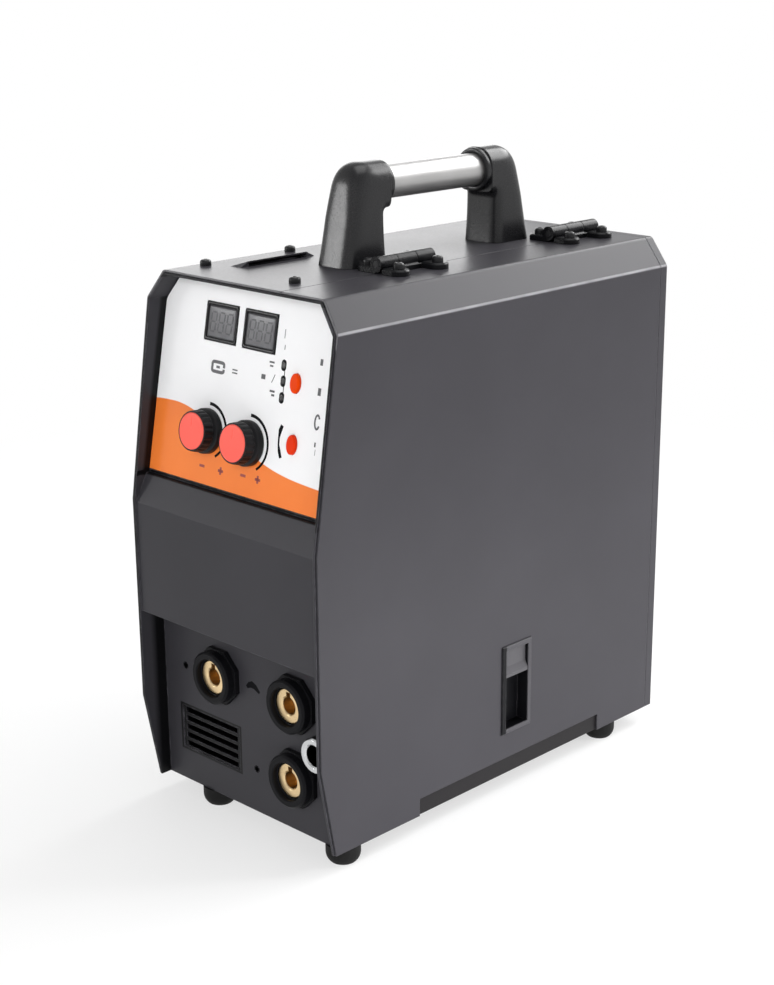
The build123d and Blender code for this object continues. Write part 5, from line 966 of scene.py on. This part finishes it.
white_ink = finish("white_ink", (0.72, 0.72, 0.72), 0.45, rub_highlight=1.0, gloss=0.2, **INK)
marks = [dash(0.0, MARK_HEIGHT, BAR_WIDE, BAR_TALL)]
marks += [(ring(0.0, -MARK_HEIGHT, RING_WIDE, RING_WIDE, 0.0, 360.0), RING_INK)]
strokes = [stroke(on_rocker, path, width, *ROCKER_PRINT) for path, width in marks]
piece("rocker_marks", strokes, "rocker", white_ink)
print("rocker marks:", len(strokes))

# %% [markdown]
# ## Floor and room
#
# A pale floor and a white room make a plain product picture. A lit floor alone would look grey beside a white
# room, so for rays that come straight from the camera, or by a mirror, the floor also glows a little; the shadow
# stays, because only part of its brightness is glow.

# %% White floor in a white room
FLOOR_HALF, FLOOR_PATCH = 6.0, 3.0
GLOW_NEAR, GLOW_FAR, GLOW_SHARE = 0.30, 1.1, (0.6, 1.0)
FLOOR_TONES = ((0.88, 0.88, 0.88), (0.90, 0.90, 0.90))
ROOM_LIGHT, ROOM_RISE, ROOM_SEEN = 0.30, (0.15, 0.75), (1.0, 0.55)


def seen(tree):
    """1 for rays from the camera, from glossy surfaces and through clear ones."""
    path = add(tree, "LightPath").outputs
    return either(tree, path["Is Camera Ray"], either(tree, path["Is Glossy Ray"], path["Is Transmission Ray"]))


def floor_finish():
    """White floor: part glow and part lit near the welder, all glow far away, and plain lit for rays not seen."""
    material, tree, shader, place = blank("studio_floor")
    tree.nodes.remove(shader)
    away = add(tree, "VectorMath", {0: place}, operation="LENGTH").outputs["Value"]
    share = span(tree, away, GLOW_NEAR, GLOW_FAR, *GLOW_SHARE)
    tone = mix(tree, span(tree, noise(tree, place, FLOOR_PATCH), *NOISE), *FLOOR_TONES)
    lit = add(tree, "BsdfDiffuse", {"Color": tone}).outputs[0]
    glow = add(tree, "Emission", {"Strength": 1.0}).outputs[0]
    shown = add(tree, "MixShader", {0: both(tree, seen(tree), share), 1: lit, 2: glow}).outputs[0]
    tree.links.new(shown, tree.nodes["Material Output"].inputs["Surface"])
    return material


corners = np.array([(-1, -1, 0), (1, -1, 0), (1, 1, 0), (-1, 1, 0)]) * FLOOR_HALF
floor_mesh = bpy.data.meshes.new("studio_floor")
floor_mesh.from_pydata(corners.tolist(), [], [(0, 1, 2, 3)])
floor_mesh.materials.append(floor_finish())
floor = bpy.data.objects.new("studio_floor", floor_mesh)
bpy.context.collection.objects.link(floor)

world = bpy.data.worlds.new("white_room")
world.use_nodes = True
bpy.context.scene.world = world
room = world.node_tree
rise = axes(room, add(room, "TexCoord").outputs["Generated"])["Z"]
bright = span(room, rise, *ROOM_RISE, *ROOM_SEEN)
level = add(room, "Mix", {0: seen(room), 2: ROOM_LIGHT, 3: bright}, data_type="FLOAT").outputs[0]
back = room.nodes["Background"]
back.inputs["Color"].default_value = (1.0, 1.0, 1.0, 1.0)
room.links.new(level, back.inputs["Strength"])
print("floor: %.0f m wide" % (2 * FLOOR_HALF))

# %% [markdown]
# ## Lamps
#
# Six soft panels and a low strip light the welder. Most light comes from the front right and from behind, as in the
# picture. A lamp that would show as a white patch on the glossy top or in the zinc sheet is kept out of gloss: it
# lights and does not shine. The left panel does the opposite: it gives highlights and no other light.

# %% Panels and strip
# Name, place, aim, size, power, role. What "lights" is not seen in gloss, and what "shines" is seen only there.
PANELS = (
    ("front_panel_light", (0.75, -2.1, 1.15), (0.0, -0.1, 0.25), (1.0, 1.0), 24.0, "lights"),
    ("left_panel_light", (-1.65, -1.75, 0.75), (0.0, -0.1, 0.30), (0.42, 0.42), 10.0, "shines"),
    ("top_panel_light", (0.1, 0.2, 2.4), (0.0, 0.0, 0.4), (1.6, 1.6), 22.0, "both"),
    ("back_panel_light", (0.4, 2.3, 2.0), (0.0, 0.0, 0.4), (2.6, 1.2), 74.0, "both"),
    ("rim_panel_light", (-2.1, 1.5, 0.95), (0.0, -0.1, 0.4), (1.4, 1.4), 13.5, "both"),
    ("edge_panel_light", (1.7, 1.75, 1.1), (0.0, 0.0, 0.40), (0.45, 0.45), 30.0, "lights"),
    ("side_strip_light", (0.46, -0.05, 0.04), (0.1, -0.05, 0.02), (0.9, 0.08), 2.2, "lights"),
)
for name, place, aim, size, power, role in PANELS:
    light = bpy.data.lights.new(name, "AREA")
    light.shape = "RECTANGLE"
    light.size, light.size_y = size
    light.energy = power
    made = bpy.data.objects.new(name, light)
    made.visible_camera = False
    made.visible_glossy = role != "lights"
    made.visible_diffuse = role != "shines"
    bpy.context.collection.objects.link(made)
    made.matrix_world = looking(Vector(place), Vector(aim))
bpy.context.scene.view_settings.view_transform = "Standard"
print("lights:", len(PANELS))
